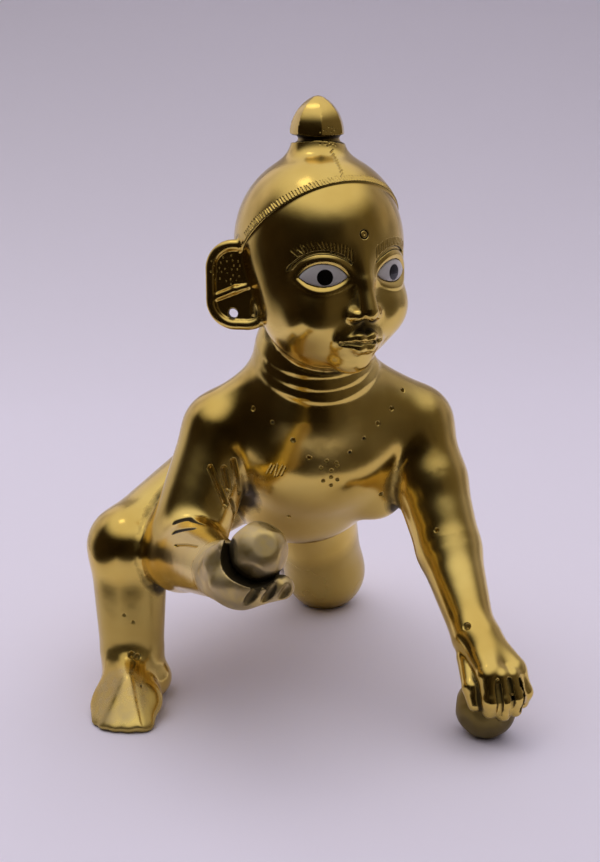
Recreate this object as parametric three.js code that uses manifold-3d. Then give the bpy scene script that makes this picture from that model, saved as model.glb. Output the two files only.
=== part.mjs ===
// A small solid brass figure of a crawling infant with a topknot, a ball raised in one hand and
// a ball under the other. It is one casting, with an enamel eye laid into each of its two sockets.
// Millimetres, +Z up. The figure faces -Y, its own left is +X, and it rests on the ground at Z = 0.

import * as THREE from 'three';
import { mergeVertices } from 'three/addons/utils/BufferGeometryUtils.js';
import Module from 'manifold-3d';

const wasm = await Module();
wasm.setup();

// Driving dimensions, in millimetres
const HEIGHT = 110; // from the ground to the tip of the topknot
const EYE_LENGTH = 8; // from corner to corner of an inlaid eye
const EYE_RISE = 2.2; // the upper arc of an eye, above the line between its corners
const EYE_DROP = 1.5; // the lower arc, below that line
const EYE_THICKNESS = 1.5; // from the back of an inlay to the line between its corners
const EYE_BULGE = 9; // radius of the domed front of an inlay
const INLAY_GAP = 0.3; // clearance between an inlay and its socket, all round
const LOBE_HOLE = 1.7; // bore through an ear lobe

// The pose, the proportions and the carving are drawn on a figure that is DRAWN_HEIGHT units high
const DRAWN_HEIGHT = 110;
const UNIT = HEIGHT / DRAWN_HEIGHT; // one drawn unit, in millimetres

// How finely the casting is followed, and how many flat faces it is then given
const STEP = 0.8; // side of a sampling cell, in units
const BLOCK = 4; // cells along the side of a block that is sampled together or skipped
const FACES = 8500;

const BRASS = new THREE.MeshStandardMaterial({ color: 0xc2a252, roughness: 0.22, metalness: 1 });
const ENAMEL = new THREE.MeshStandardMaterial({ color: 0xe9e7e6, roughness: 0.18, metalness: 0 });

const at = (x, y, z) => new THREE.Vector3(x, y, z);

/** A joint of a limb: its place, and the radius of the limb there. */
const joint = (x, y, z, radius) => ({ place: at(x, y, z), radius });

/** A frame of reference: its origin, turned by roll about Y, then pitch about X, then yaw about Z. */
function frame(origin, { yaw = 0, pitch = 0, roll = 0 } = {}) {
  const turn = new THREE.Euler(...[pitch, roll, yaw].map(THREE.MathUtils.degToRad), 'ZXY');
  return new THREE.Matrix4().makeRotationFromEuler(turn).setPosition(origin);
}

// Where the head and its details are. The head looks a little towards the figure's left.
const HEAD_HEIGHT = 81.5;
const HEAD = frame(at(1.4, -12.5, HEAD_HEIGHT), { yaw: 16 });
const eyeFrame = (side) => frame(at(6.5 * side, -11.9, -0.4), { yaw: 26 * side });
const earFrame = (side) => frame(at(14.2 * side, 3.2, -3.6), { yaw: 38 * side });
const LOBE = at(1.6, 0, -4.6); // in the ear's frame

// Forms are functions of a point, (x, y, z), that give its distance to a surface, negative inside

function ball(centre, radius) {
  const { x: cx, y: cy, z: cz } = centre;
  return (x, y, z) => Math.sqrt((x - cx) ** 2 + (y - cy) ** 2 + (z - cz) ** 2) - radius;
}

function egg(centre, radii) {
  const { x: cx, y: cy, z: cz } = centre;
  const { x: rx, y: ry, z: rz } = radii;
  return (x, y, z) => {
    const u = (x - cx) / rx;
    const v = (y - cy) / ry;
    const w = (z - cz) / rz;
    const reach = Math.sqrt(u * u + v * v + w * w);
    const slope = Math.sqrt((u / rx) ** 2 + (v / ry) ** 2 + (w / rz) ** 2);
    return slope > 0 ? reach * (reach - 1) / slope : -Math.min(rx, ry, rz);
  };
}

/** A straight length of limb that tapers from joint a to joint b, with round ends. */
function segment(a, b) {
  const { x: ax, y: ay, z: az } = a.place;
  const along = b.place.clone().sub(a.place);
  const { x: bx, y: by, z: bz } = along;
  const lengthSquared = along.lengthSq();
  const taper = b.radius - a.radius;
  return (x, y, z) => {
    const px = x - ax;
    const py = y - ay;
    const pz = z - az;
    const share = Math.min(Math.max((px * bx + py * by + pz * bz) / lengthSquared, 0), 1);
    const gap = Math.sqrt((px - share * bx) ** 2 + (py - share * by) ** 2 + (pz - share * bz) ** 2);
    return gap - a.radius - share * taper;
  };
}

/** The lower of two distances, rounded over a width of k where they meet. */
function blend(a, b, k) {
  const overlap = Math.max(k - Math.abs(a - b), 0) / k;
  return Math.min(a, b) - overlap * overlap * overlap * k / 6;
}

/** Forms that grow into each other, with a fillet of the given width between them. */
function joined(fillet, ...forms) {
  return (x, y, z) => {
    let distance = forms[0](x, y, z);
    for (let i = 1; i < forms.length; i++) distance = blend(distance, forms[i](x, y, z), fillet);
    return distance;
  };
}

/** A form with another one pressed out of it. */
function hollowed(fillet, form, tool) {
  return (x, y, z) => -blend(-form(x, y, z), tool(x, y, z), fillet);
}

/** Segments from each joint to the next. */
function chain(fillet, ...joints) {
  return joined(fillet, ...joints.slice(1).map((next, i) => segment(joints[i], next)));
}

/** A form that is drawn in a frame's own coordinates. */
function placed(place, form) {
  const [a, b, c, , d, e, f, , g, h, i, , j, k, l] = place.clone().invert().elements;
  return (x, y, z) => form(a * x + d * y + g * z + j, b * x + e * y + h * z + k, c * x + f * y + i * z + l);
}

/** A form on +X, and its mirror image on -X. */
const paired = (form) => (x, y, z) => form(Math.abs(x), y, z);

/** A form that lies within a ball. Further than `clear` from the ball, the ball stands for it. */
function within(centre, radius, clear, form) {
  const bound = ball(centre, radius);
  return (x, y, z) => {
    const distance = bound(x, y, z);
    return distance > clear ? distance : form(x, y, z);
  };
}

// The widths of the fillets, from the folds of the carving to the meeting of the great masses
const CRISP = 0.5;
const SOFT = 1.2;
const ROUND = 2.5;
const FLESH = 3;
const FULL = 6;
const MASS = 8;

/** Distance, in the plane of an eye, to the almond between its two arcs. */
function almond(u, v, length, rise, drop) {
  const radius = (height) => ((length / 2) ** 2 + height ** 2) / (2 * height);
  const upper = Math.hypot(u, v + radius(rise) - rise) - radius(rise);
  const lower = Math.hypot(u, v - radius(drop) + drop) - radius(drop);
  return Math.max(upper, lower);
}

/** The skull, the jaw, the cheeks and the chin, with shallow hollows for the eyes. */
function bareHead() {
  const skull = egg(at(0, 1.2, 3.7), at(14.3, 15.4, 15.2));
  const jaw = egg(at(0, -2.6, -6.3), at(12.3, 11.3, 12));
  const cheeks = paired(ball(at(6.2, -8.2, -6.6), 5.1));
  const chin = egg(at(0, -10.2, -14.6), at(3.6, 3, 3));
  const flesh = joined(4, joined(FULL, skull, jaw), cheeks, chin);
  const hollows = paired(egg(at(6.4, -15.8, -0.2), at(4.8, 2.3, 3)));
  return { skull, face: hollowed(ROUND, flesh, hollows) };
}

/** The cap of hair: a step above the skin, behind a line from the forehead down to each ear. */
function hair(skull) {
  const [front, height, slope, thickness] = [-9.54, 14.8, 0.96, 0.4];
  const steepness = Math.hypot(1, slope);
  return (x, y, z) => {
    const behindLine = (z - height + slope * (y - front)) / steepness;
    return Math.max(skull(x, y, z) - thickness, -behindLine);
  };
}

/** The rim of the lids, which follows the skin at a small distance round each eye. */
function lids(skin) {
  const [reach, thickness, sunk, clear] = [0.85, 0.6, 0.3, 4];
  const ridge = (u, back, v) => {
    if (back > clear) return clear;
    return almond(u, v, EYE_LENGTH / UNIT, EYE_RISE / UNIT, EYE_DROP / UNIT) - reach;
  };
  const round = paired(placed(eyeFrame(1), ridge));
  return (x, y, z) => Math.hypot(round(x, y, z), skin(x, y, z) + sunk) - thickness;
}

function nose() {
  const bridge = chain(
    SOFT,
    joint(0, -12.2, 4, 1.5),
    joint(0, -14.4, -1.4, 1.2),
    joint(0, -16, -6, 1.6),
  );
  const wings = paired(egg(at(1.8, -14.7, -6.7), at(1.05, 1.6, 1)));
  return joined(SOFT, bridge, wings);
}

function mouth() {
  const upper = chain(
    SOFT,
    joint(0, -14.8, -10.7, 0.75),
    joint(1.1, -14.8, -10.5, 0.8),
    joint(3.9, -12.9, -11.1, 0.35),
  );
  const lower = chain(
    SOFT,
    joint(0, -14.4, -12.2, 1),
    joint(1, -14.4, -12.2, 1),
    joint(3.2, -13.2, -11.9, 0.45),
  );
  return paired(joined(0.3, upper, lower));
}

const MUZZLE = egg(at(0, -11.8, -11.2), at(4.8, 2.9, 3.4));

/** An ear: a plate in a round-cornered rim, with a fold across it and a ridge within the rim. */
function ear() {
  const [halfWidth, halfHeight, corner] = [5.2, 6.9, 4.2];
  const outline = (u, v) => {
    const dx = Math.abs(u - 0.2) - halfWidth + corner;
    const dz = Math.abs(v - 0.4) - halfHeight + corner;
    return Math.hypot(Math.max(dx, 0), Math.max(dz, 0)) + Math.min(Math.max(dx, dz), 0) - corner;
  };
  const rim = (u, w, v) => Math.hypot(outline(u, v), w) - 0.95;
  const web = (u, w, v) => Math.max(outline(u, v), Math.abs(w - 0.45) - 0.7);
  const fold = chain(
    CRISP,
    joint(4.8, 0, -1.9, 0.7),
    joint(1, -0.3, -0.3, 0.65),
    joint(-1.4, 0, 0.4, 0.5),
  );
  const ridge = segment(joint(-2.4, -0.2, -2.4, 0.8), joint(-2.2, 0, -4.4, 0.6));
  return placed(earFrame(1), joined(CRISP, rim, web, fold, ridge));
}

/** The topknot: a filed dome with a blunt tip on a short neck, with a groove under its rim. */
function topknot() {
  const [rim, radius, arc] = [at(0.15, 2.3, 22), 4.6, 7.1];
  const [facets, turn] = [7, 0.35];
  const tip = DRAWN_HEIGHT - HEAD_HEIGHT;
  const neck = chain(CRISP, joint(rim.x, rim.y, 14.8, 6), joint(rim.x, rim.y, 21.6, 4.35));
  const angles = [...Array(facets).keys()].map((n) => 2 * Math.PI * (n + turn) / facets);
  const flats = angles.map((angle) => [Math.cos(angle), Math.sin(angle)]);
  const [roundness, flatness] = [0.2, 0.8 * 1.03];
  const dome = (x, y, z) => {
    const [dx, dy] = [x - rim.x, y - rim.y];
    const flat = Math.max(...flats.map(([across, along]) => across * dx + along * dy));
    const out = roundness * Math.hypot(dx, dy) + flatness * flat;
    const side = Math.hypot(out + arc - radius, z - rim.z) - arc;
    return -blend(-Math.max(side, rim.z - z), tip - z, CRISP);
  };
  const [centre, girth, width] = [at(rim.x + 0.5, rim.y + 0.6, rim.z - 0.75), 4.35, 0.75];
  const groove = (x, y, z) => {
    const ring = Math.hypot(x - centre.x, y - centre.y) - girth;
    return Math.hypot(ring, z - centre.z) - width;
  };
  return { neck, dome, groove };
}

function head() {
  const { skull, face } = bareHead();
  const skin = joined(0.9, face, hair(skull));
  const { neck, dome, groove } = topknot();
  const features = joined(2, joined(FLESH, joined(0.8, skin, lids(skin)), nose()), MUZZLE);
  const eared = joined(1, joined(0.8, features, mouth()), paired(ear()));
  return placed(HEAD, joined(CRISP, hollowed(0.4, joined(FLESH, eared, neck), groove), dome));
}

/** Folds of the neck: ridges on the skin, where it meets planes that tilt down to the front. */
function neckFolds(skin) {
  const folds = [[62.2, 0.42], [59.8, 0.5], [57.4, 0.62]];
  const [front, thickness, depth, girth] = [-17.6, 0.78, 0.65, 14];
  const throat = at(2.5, -11, 60);
  return (x, y, z) => {
    const distance = skin(x, y, z);
    const out = Math.hypot(x - throat.x, y - throat.y);
    if (Math.abs(distance) > SOFT || out > girth || Math.abs(z - throat.z) > girth) return distance;
    const fade = Math.max(out - girth + FLESH, 0) / FLESH;
    let folded = distance;
    for (const [height, tilt] of folds) {
      const fromPlane = (z - height - tilt * (y - front)) / Math.hypot(1, tilt);
      const ridge = Math.hypot(fromPlane, distance + depth) - thickness * (1 - fade);
      folded = blend(folded, ridge, 1.1);
    }
    return folded;
  };
}

function torso() {
  const neck = segment(joint(1.2, -5.2, 56, 10.8), joint(0.4, -6.9, 65.5, 9.9));
  const leaning = frame(at(3.2, -3.5, 46), { pitch: -25, roll: -3 });
  const chest = placed(leaning, egg(at(0, 0, 0), at(17, 11.5, 12.5)));
  const belly = egg(at(1.6, 6, 38.3), at(15.2, 13.5, 14.3));
  const pelvis = egg(at(-1.5, 20, 37), at(14, 12, 12));
  const buttocks = [-8.5, 5.5].map((x) => ball(at(x, 26, 37.5), 9));
  const side = egg(at(14, -3.5, 38), at(6, 6, 7));
  const trapezius = [at(-14.6, -0.5, 49.4), at(21, -3.5, 49.6)].map(({ x, y, z }) => joined(
    FULL,
    segment(joint(1.8, -6, 53, 8), joint(x, y - 1, z - 0.5, 7)),
    segment(joint(0.8, -6.5, 62, 7), joint(x, y, z + 0.5, 6)),
  ));
  const trunk = joined(MASS, chest, belly, pelvis);
  const seat = joined(FLESH, trunk, ...buttocks);
  const shoulders = joined(FULL, seat, neck, ...trapezius, side);
  const navel = segment(joint(4.5, -9.2, 31.4, 0.55), joint(4.7, -8.4, 29.6, 0.7));
  return neckFolds(hollowed(0.6, shoulders, navel));
}

/** A ball that was filed flat in places: the facets are spread evenly over it. */
function facetedBall(centre, radius, facets, depth) {
  const edgeFillet = 0.25;
  const goldenAngle = Math.PI * (3 - Math.sqrt(5));
  const flats = [...Array(facets).keys()].map((n) => {
    const height = 1 - (2 * n + 1) / facets;
    const out = Math.sqrt(1 - height * height);
    return [out * Math.cos(goldenAngle * n), out * Math.sin(goldenAngle * n), height];
  });
  const whole = ball(centre, radius);
  const { x: cx, y: cy, z: cz } = centre;
  return (x, y, z) => {
    const [dx, dy, dz] = [x - cx, y - cy, z - cz];
    const flat = Math.max(...flats.map(([nx, ny, nz]) => dx * nx + dy * ny + dz * nz));
    return -blend(-whole(x, y, z), radius - depth - flat, edgeFillet);
  };
}

/** A cupped palm with its ball, the thumb beside it and the fingers filed into one slab below it. */
function raisedHand() {
  const palm = egg(at(-18.6, -40, 35.4), at(5.3, 5.8, 5.4));
  const thumb = chain(
    1,
    joint(-21.2, -37, 34.6, 3.9),
    joint(-21.7, -40.6, 38.4, 2.6),
    joint(-21.2, -42.4, 41.2, 1.3),
  );
  const lip = chain(
    1,
    joint(-21.8, -43, 35.8, 2),
    joint(-19.2, -45, 36.2, 1.5),
    joint(-15.4, -45.4, 36, 1.4),
  );
  const slab = segment(joint(-18.4, -43.6, 34, 2.5), joint(-12.4, -44.2, 34.5, 2));
  const scoops = [-17.7, -14.9, -12.3].map((x) => (
    placed(frame(at(x, -46.5, 34.2), { roll: 32 }), egg(at(0, 0, 0), at(0.85, 1.2, 2.3)))
  ));
  const bed = ball(at(-17, -43.8, 39.9), 5);
  const held = facetedBall(at(-15.6, -41.6, 40), 4.75, 10, 0.45);
  const cupped = hollowed(0.5, joined(2.6, palm, thumb, lip, slab), bed);
  return joined(0.3, hollowed(0.3, cupped, joined(0.1, ...scoops)), held);
}

/** The hand that leans on the ball on the ground: its fingers are one slab with saw cuts between them. */
function leaningHand() {
  const back = joined(
    FLESH,
    segment(joint(25.6, -31, 16.4, 3.7), joint(25.6, -37.6, 13, 2.6)),
    segment(joint(26.4, -31.5, 16, 3.4), joint(30.2, -36.4, 12.6, 2.6)),
  );
  const rows = [
    [joint(25, -38.6, 12.6, 1.9), joint(25, -40.4, 9, 1.6), joint(25, -40, 6.9, 1.3)],
    [joint(27.1, -39, 12.6, 1.8), joint(27.3, -40.8, 9, 1.6), joint(27.4, -40.3, 6.3, 1.3)],
    [joint(29.2, -38.6, 12.4, 1.8), joint(29.7, -40.1, 9.2, 1.6), joint(29.8, -39.5, 6.5, 1.3)],
    [joint(30.8, -37.4, 12, 1.8), joint(31.7, -38.5, 9.2, 1.6), joint(31.6, -38, 7.2, 1.3)],
  ];
  const slab = joined(SOFT, ...rows.map((joints) => chain(0.8, ...joints)));
  const [cutOut, cutRadius] = [1.5, 0.55]; // how far a cut stands out of the slab, and its half width
  const cuts = rows.slice(1).map((row, n) => chain(0.1, ...row.map(({ place }, i) => {
    const middle = rows[n][i].place.clone().lerp(place, 0.5);
    return joint(middle.x, middle.y - cutOut, middle.z, cutRadius);
  })));
  const thumb = chain(
    CRISP,
    joint(23.6, -32.6, 13.6, 2.2),
    joint(22.6, -37.2, 10.4, 1.7),
    joint(22.8, -38.6, 7.8, 1.3),
  );
  const held = facetedBall(at(26.2, -34.8, 5), 5.4, 20, 0.2);
  const whole = joined(1, back, hollowed(0.2, slab, joined(0.1, ...cuts)));
  return joined(0.3, joined(CRISP, whole, thumb), held);
}

function rightArm() {
  const arm = chain(
    4,
    joint(-15, -1.5, 49, 7.5),
    joint(-23.9, -8.5, 28.8, 7),
    joint(-20.6, -33, 34, 4.9),
  );
  return joined(2, arm, within(at(-18.2, -40.5, 37), 12, 4, raisedHand()));
}

function leftArm() {
  const arm = chain(
    2,
    joint(20.8, -4.5, 49, 7.2),
    joint(22.9, -9.5, 39.5, 6.9),
    joint(24.5, -17, 28.5, 5.9),
    joint(25.2, -30, 17, 3.9),
  );
  return joined(FLESH, arm, within(at(27.5, -36, 8), 13, 4, leaningHand()));
}

/** A foot in a frame on its sole, under the ankle: -Y to the toes, +Z to the ankle, great toe at +X. */
function foot() {
  const heel = egg(at(1.2, -1.2, 3.1), at(6.3, 6.6, 4.3));
  const instep = segment(joint(0, 0, 6.2, 5.4), joint(-0.2, -9, 4, 4.4));
  const pad = egg(at(0.1, -10.6, 3), at(6.8, 6.4, 4.4));
  const toes = [
    [4, -15.8, 2.2],
    [1.5, -16.5, 1.9],
    [-0.9, -16.4, 1.8],
    [-3.1, -15.7, 1.7],
    [-4.9, -14.3, 1.6],
  ].map(([x, y, radius]) => segment(joint(0.9 * x, y + 4, 2.6, radius), joint(x, y, 1.7, radius)));
  const whole = joined(1.6, joined(FLESH, heel, instep, pad), ...toes);
  const filed = [
    { facing: at(-0.62, -0.42, 0.66), reach: 9.9 },
    { facing: at(0.56, -0.46, 0.69), reach: 11.4 },
    { facing: at(-0.1, -0.72, 0.69), reach: 13.6 },
  ];
  return (x, y, z) => filed.reduce((distance, { facing, reach }) => (
    -blend(-distance, reach - facing.x * x - facing.y * y - facing.z * z, SOFT)
  ), whole(x, y, z));
}

/** The foot of the knee that is up stands flat on the ground. */
function rightLeg() {
  const leg = chain(
    FLESH,
    joint(-8.6, 18, 36.4, 10.6),
    joint(-33.1, -1.5, 28.2, 7.3),
    joint(-33.3, -3.9, 9.5, 6),
  );
  const standing = placed(frame(at(-33.4, -4.4, 0), { yaw: -13 }), foot());
  return joined(FLESH, leg, within(at(-33, -9, 4), 16, 4, standing));
}

/** The foot behind the knee that is down lies on its back, sole up, and is a little smaller. */
function leftLeg() {
  const leg = chain(
    4,
    joint(4.5, 21, 35, 10.5),
    joint(12.2, 31.5, 7.6, 8.2),
    joint(9.5, 53, 5.6, 4.6),
  );
  const size = 0.82;
  const lying = frame(at(9.5, 53, 9.6), { yaw: 4 })
    .multiply(new THREE.Matrix4().makeScale(-size, -size, -size))
    .multiply(frame(at(0, 0, 0), { pitch: -30 }));
  const form = placed(lying, foot());
  return joined(FLESH, leg, within(at(9, 60, 6), 16, 4, (x, y, z) => form(x, y, z) * size));
}

/** The whole casting, which still dips a little below the ground where it rests on it. */
function casting() {
  const body = joined(FLESH, torso(), rightLeg(), leftLeg());
  const limbed = joined(ROUND, body, rightArm(), leftArm());
  return joined(SOFT, limbed, within(at(1, -11, 87), 30, 4, head()));
}

// From the forms to flat faces. A mesh is { places: [x, y, z, ...], corners: [a, b, c, ...] }.

/** The values of a form on a grid, worked out closely only in the blocks that the surface crosses. */
function sampled(form, low, high, step) {
  const count = (length) => Math.ceil(length / (step * BLOCK)) * BLOCK;
  const [nx, ny, nz] = high.clone().sub(low).toArray().map(count);
  const valueAt = (i, j, k) => form(low.x + i * step, low.y + j * step, low.z + k * step);
  const values = new Float32Array(nx * ny * nz);
  const cells = [];
  const half = BLOCK / 2;
  const slack = 1.25; // a blended form can give up to a quarter more than the true distance
  const reach = (slack * Math.sqrt(3) * half + 1) * step;
  const offsets = [...Array(BLOCK).keys()];
  const inBlock = offsets.flatMap((a) => offsets.flatMap((b) => offsets.map((c) => [a, b, c])));
  for (let i = 0; i < nx; i += BLOCK) {
    for (let j = 0; j < ny; j += BLOCK) {
      for (let k = 0; k < nz; k += BLOCK) {
        const middle = valueAt(i + half, j + half, k + half);
        const near = Math.abs(middle) < reach;
        for (const [a, b, c] of inBlock) {
          const cell = ((i + a) * ny + j + b) * nz + k + c;
          values[cell] = near ? valueAt(i + a, j + b, k + c) : middle;
          if (near) cells.push(cell);
        }
      }
    }
  }
  return { values, cells, strides: [ny * nz, nz, 1] };
}

/** Fills corners of the grid until no square has two inside and two outside, each across from its like. */
function untangled(values, cells, strides) {
  const squares = [[0, 1], [0, 2], [1, 2]].map(([u, v]) => [strides[u], strides[v]]);
  const barelyInside = -1e-3;
  for (let filled = true; filled;) {
    filled = false;
    for (const cell of cells) {
      for (const [u, v] of squares) {
        const across = values[cell] < 0 === values[cell + u + v] < 0;
        const others = values[cell + u] < 0 === values[cell + v] < 0;
        if (!across || !others || values[cell] < 0 === values[cell + u] < 0) continue;
        values[values[cell] < 0 ? cell + u : cell] = barelyInside;
        filled = true;
      }
    }
  }
}

/** Moves every place onto the surface of a form, along its slope. */
function settled(form, places) {
  const [nudge, rounds, leastSlope] = [0.02, 2, 0.25];
  for (let n = 0; n < places.length; n += 3) {
    for (let round = 0; round < rounds; round++) {
      const [x, y, z] = places.slice(n, n + 3);
      const slope = [
        form(x + nudge, y, z) - form(x - nudge, y, z),
        form(x, y + nudge, z) - form(x, y - nudge, z),
        form(x, y, z + nudge) - form(x, y, z - nudge),
      ].map((rise) => rise / (2 * nudge));
      const steepness = Math.max(slope[0] ** 2 + slope[1] ** 2 + slope[2] ** 2, leastSlope);
      const move = form(x, y, z) / steepness;
      slope.forEach((part, axis) => { places[n + axis] -= part * move; });
    }
  }
  return places;
}

/** A closed mesh of a form: a corner in every cell that the surface crosses, a quad round every edge. */
function meshed(form, low, high, step) {
  const { values, cells, strides } = sampled(form, low, high, step);
  untangled(values, cells, strides);
  const bits = [0, 1, 2];
  const offset = (corner) => bits.reduce((sum, bit) => sum + (corner >> bit & 1) * strides[bit], 0);
  const cornerOffsets = [...Array(8).keys()].map(offset);
  const cellEdges = bits.flatMap((bit) => [...Array(8).keys()]
    .filter((corner) => !(corner >> bit & 1))
    .map((corner) => ({ bit, from: corner, to: corner | 1 << bit })));
  const vertexOf = new Int32Array(values.length).fill(-1);
  const places = [];
  for (const cell of cells) {
    const inside = cornerOffsets.filter((extra) => values[cell + extra] < 0).length;
    if (inside === 0 || inside === 8) continue;
    const sum = [0, 0, 0];
    let crossings = 0;
    for (const { bit, from, to } of cellEdges) {
      const a = values[cell + cornerOffsets[from]];
      const b = values[cell + cornerOffsets[to]];
      if (a < 0 === b < 0) continue;
      crossings++;
      for (const axis of bits) sum[axis] += axis === bit ? a / (a - b) : from >> axis & 1;
    }
    vertexOf[cell] = places.length / 3;
    const along = Math.floor(cell / strides[0]);
    const across = Math.floor(cell % strides[0] / strides[1]);
    [along, across, cell % strides[1]].forEach((index, axis) => {
      places.push(low.getComponent(axis) + (index + sum[axis] / crossings) * step);
    });
  }
  settled(form, places);
  const corners = [];
  const gap = (a, b, axis) => places[3 * a + axis] - places[3 * b + axis];
  const apart = (a, b) => bits.reduce((sum, axis) => sum + gap(a, b, axis) ** 2, 0);
  for (const cell of cells) {
    for (const bit of bits) {
      const inside = values[cell] < 0;
      if (inside === values[cell + strides[bit]] < 0) continue;
      const [u, v] = [strides[(bit + 1) % 3], strides[(bit + 2) % 3]];
      const quad = [cell - u - v, cell - v, cell, cell - u].map((around) => vertexOf[around]);
      const [a, b, c, d] = inside ? quad : quad.reverse();
      if (apart(a, c) < apart(b, d)) corners.push(a, b, c, a, c, d);
      else corners.push(a, b, d, b, c, d);
    }
  }
  return { places, corners };
}

/** Thins a closed mesh to a number of faces, in rounds that close up the edges that are missed least. */
function thinned({ places, corners }, faces, importance) {
  const fans = Array.from({ length: places.length / 3 }, () => []);
  const errors = new Float64Array(10 * fans.length);
  const alive = new Uint8Array(corners.length / 3).fill(1);
  const place = (n) => [places[3 * n], places[3 * n + 1], places[3 * n + 2]];
  const endsOf = (face) => [corners[3 * face], corners[3 * face + 1], corners[3 * face + 2]];
  const dot = (a, b) => a[0] * b[0] + a[1] * b[1] + a[2] * b[2];
  const facing = (a, b, c) => {
    const [ux, uy, uz] = [b[0] - a[0], b[1] - a[1], b[2] - a[2]];
    const [vx, vy, vz] = [c[0] - a[0], c[1] - a[1], c[2] - a[2]];
    return [uy * vz - uz * vy, uz * vx - ux * vz, ux * vy - uy * vx];
  };

  // Each place keeps the sum of its faces' squared distances, as the ten terms of a quadratic
  for (let face = 0; face < alive.length; face++) {
    const ends = endsOf(face);
    const [a, b, c] = ends.map(place);
    const normal = facing(a, b, c);
    const size = Math.sqrt(dot(normal, normal)) || 1;
    const [x, y, z] = normal.map((part) => part / size);
    const d = -dot([x, y, z], a);
    const weight = size * importance(...a);
    const terms = [x * x, x * y, x * z, y * y, y * z, z * z, x * d, y * d, z * d, d * d];
    for (const end of ends) {
      fans[end].push(face);
      for (let n = 0; n < 10; n++) errors[10 * end + n] += weight * terms[n];
    }
  }

  // Where the surface is flat, a place is drawn a little to the middle of its edge, and short edges go first
  const [centring, leastPull, shortness] = [0.002, 1e-9, 0.01];
  const spot = [0, 0, 0];
  const q = new Float64Array(10);

  /** Puts the best place for an edge to close up to into `spot`, and returns what is missed by it. */
  function closing(a, b) {
    for (let n = 0; n < 10; n++) q[n] = errors[10 * a + n] + errors[10 * b + n];
    const [ax, ay, az] = [places[3 * a], places[3 * a + 1], places[3 * a + 2]];
    const [bx, by, bz] = [places[3 * b], places[3 * b + 1], places[3 * b + 2]];
    const pull = centring * (q[0] + q[3] + q[5]) + leastPull;
    const [xx, xy, xz, yy, yz, zz] = [q[0] + pull, q[1], q[2], q[3] + pull, q[4], q[5] + pull];
    const rx = pull * (ax + bx) / 2 - q[6];
    const ry = pull * (ay + by) / 2 - q[7];
    const rz = pull * (az + bz) / 2 - q[8];
    const [c0, c1, c2] = [yy * zz - yz * yz, xz * yz - xy * zz, xy * yz - xz * yy];
    const [c3, c4, c5] = [xx * zz - xz * xz, xy * xz - xx * yz, xx * yy - xy * xy];
    const scale = 1 / (xx * c0 + xy * c1 + xz * c2);
    const x = scale * (c0 * rx + c1 * ry + c2 * rz);
    const y = scale * (c1 * rx + c3 * ry + c4 * rz);
    const z = scale * (c2 * rx + c4 * ry + c5 * rz);
    [spot[0], spot[1], spot[2]] = [x, y, z];
    const lengthSquared = (ax - bx) ** 2 + (ay - by) ** 2 + (az - bz) ** 2;
    return q[0] * x * x + q[3] * y * y + q[5] * z * z + q[9] + shortness * pull * lengthSquared
      + 2 * (q[1] * x * y + q[2] * x * z + q[4] * y * z + q[6] * x + q[7] * y + q[8] * z);
  }

  /** Whether an edge can close up to `spot` without turning a face far round or pinching the surface. */
  function closable(a, b) {
    const mostTurn = Math.cos(THREE.MathUtils.degToRad(72));
    const near = new Set(fans[a].flatMap(endsOf));
    const shared = new Set(fans[b].flatMap(endsOf).filter((n) => near.has(n)));
    if (shared.size !== 4) return false; // the edge's two ends, and one place on each side of it
    for (const [moved, other] of [[a, b], [b, a]]) {
      for (const face of fans[moved]) {
        const ends = endsOf(face);
        if (ends.includes(other)) continue;
        const before = facing(...ends.map(place));
        const after = facing(...ends.map((n) => (n === moved ? spot : place(n))));
        const product = Math.sqrt(dot(before, before) * dot(after, after));
        if (dot(before, after) < mostTurn * product) return false;
      }
    }
    return true;
  }

  function close(a, b) {
    [places[3 * a], places[3 * a + 1], places[3 * a + 2]] = spot;
    for (let n = 0; n < 10; n++) errors[10 * a + n] += errors[10 * b + n];
    for (const face of fans[b]) {
      const ends = endsOf(face);
      if (ends.includes(a)) {
        alive[face] = 0;
        for (const end of ends) fans[end] = fans[end].filter((other) => other !== face);
      } else {
        corners[3 * face + ends.indexOf(b)] = a;
        fans[a].push(face);
      }
    }
  }

  let left = alive.length;
  let stuck = false;
  while (left > faces && !stuck) {
    const edges = [];
    for (let face = 0; face < alive.length; face++) {
      const ends = endsOf(face);
      if (!alive[face]) continue;
      const sides = ends.map((end, n) => [end, ends[(n + 1) % 3]]);
      edges.push(...sides.filter(([a, b]) => a < b));
    }
    const costs = Float64Array.from(edges, ([a, b]) => closing(a, b));
    const cheapest = Uint32Array.from(edges.keys()).sort((m, n) => costs[m] - costs[n]);
    const touched = new Uint8Array(fans.length);
    stuck = true;
    for (const n of cheapest.subarray(0, Math.ceil(edges.length / 3))) {
      const [a, b] = edges[n];
      if (left <= faces || touched[a] || touched[b]) continue;
      closing(a, b);
      if (!closable(a, b)) continue;
      close(a, b);
      for (const end of fans[a].flatMap(endsOf)) touched[end] = 1;
      left -= 2;
      stuck = false;
    }
  }
  return { places, corners: corners.filter((_, n) => alive[Math.floor(n / 3)]) };
}

/** A mesh with only the places that its faces use. */
function packed({ places, corners }) {
  const renumbered = new Map();
  for (const corner of corners) if (!renumbered.has(corner)) renumbered.set(corner, renumbered.size);
  return {
    places: [...renumbered.keys()].flatMap((n) => places.slice(3 * n, 3 * n + 3)),
    corners: corners.map((n) => renumbered.get(n)),
  };
}

function solid({ places, corners }) {
  const [vertProperties, triVerts] = [Float32Array.from(places), Uint32Array.from(corners)];
  return new wasm.Manifold(new wasm.Mesh({ numProp: 3, vertProperties, triVerts }));
}

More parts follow.
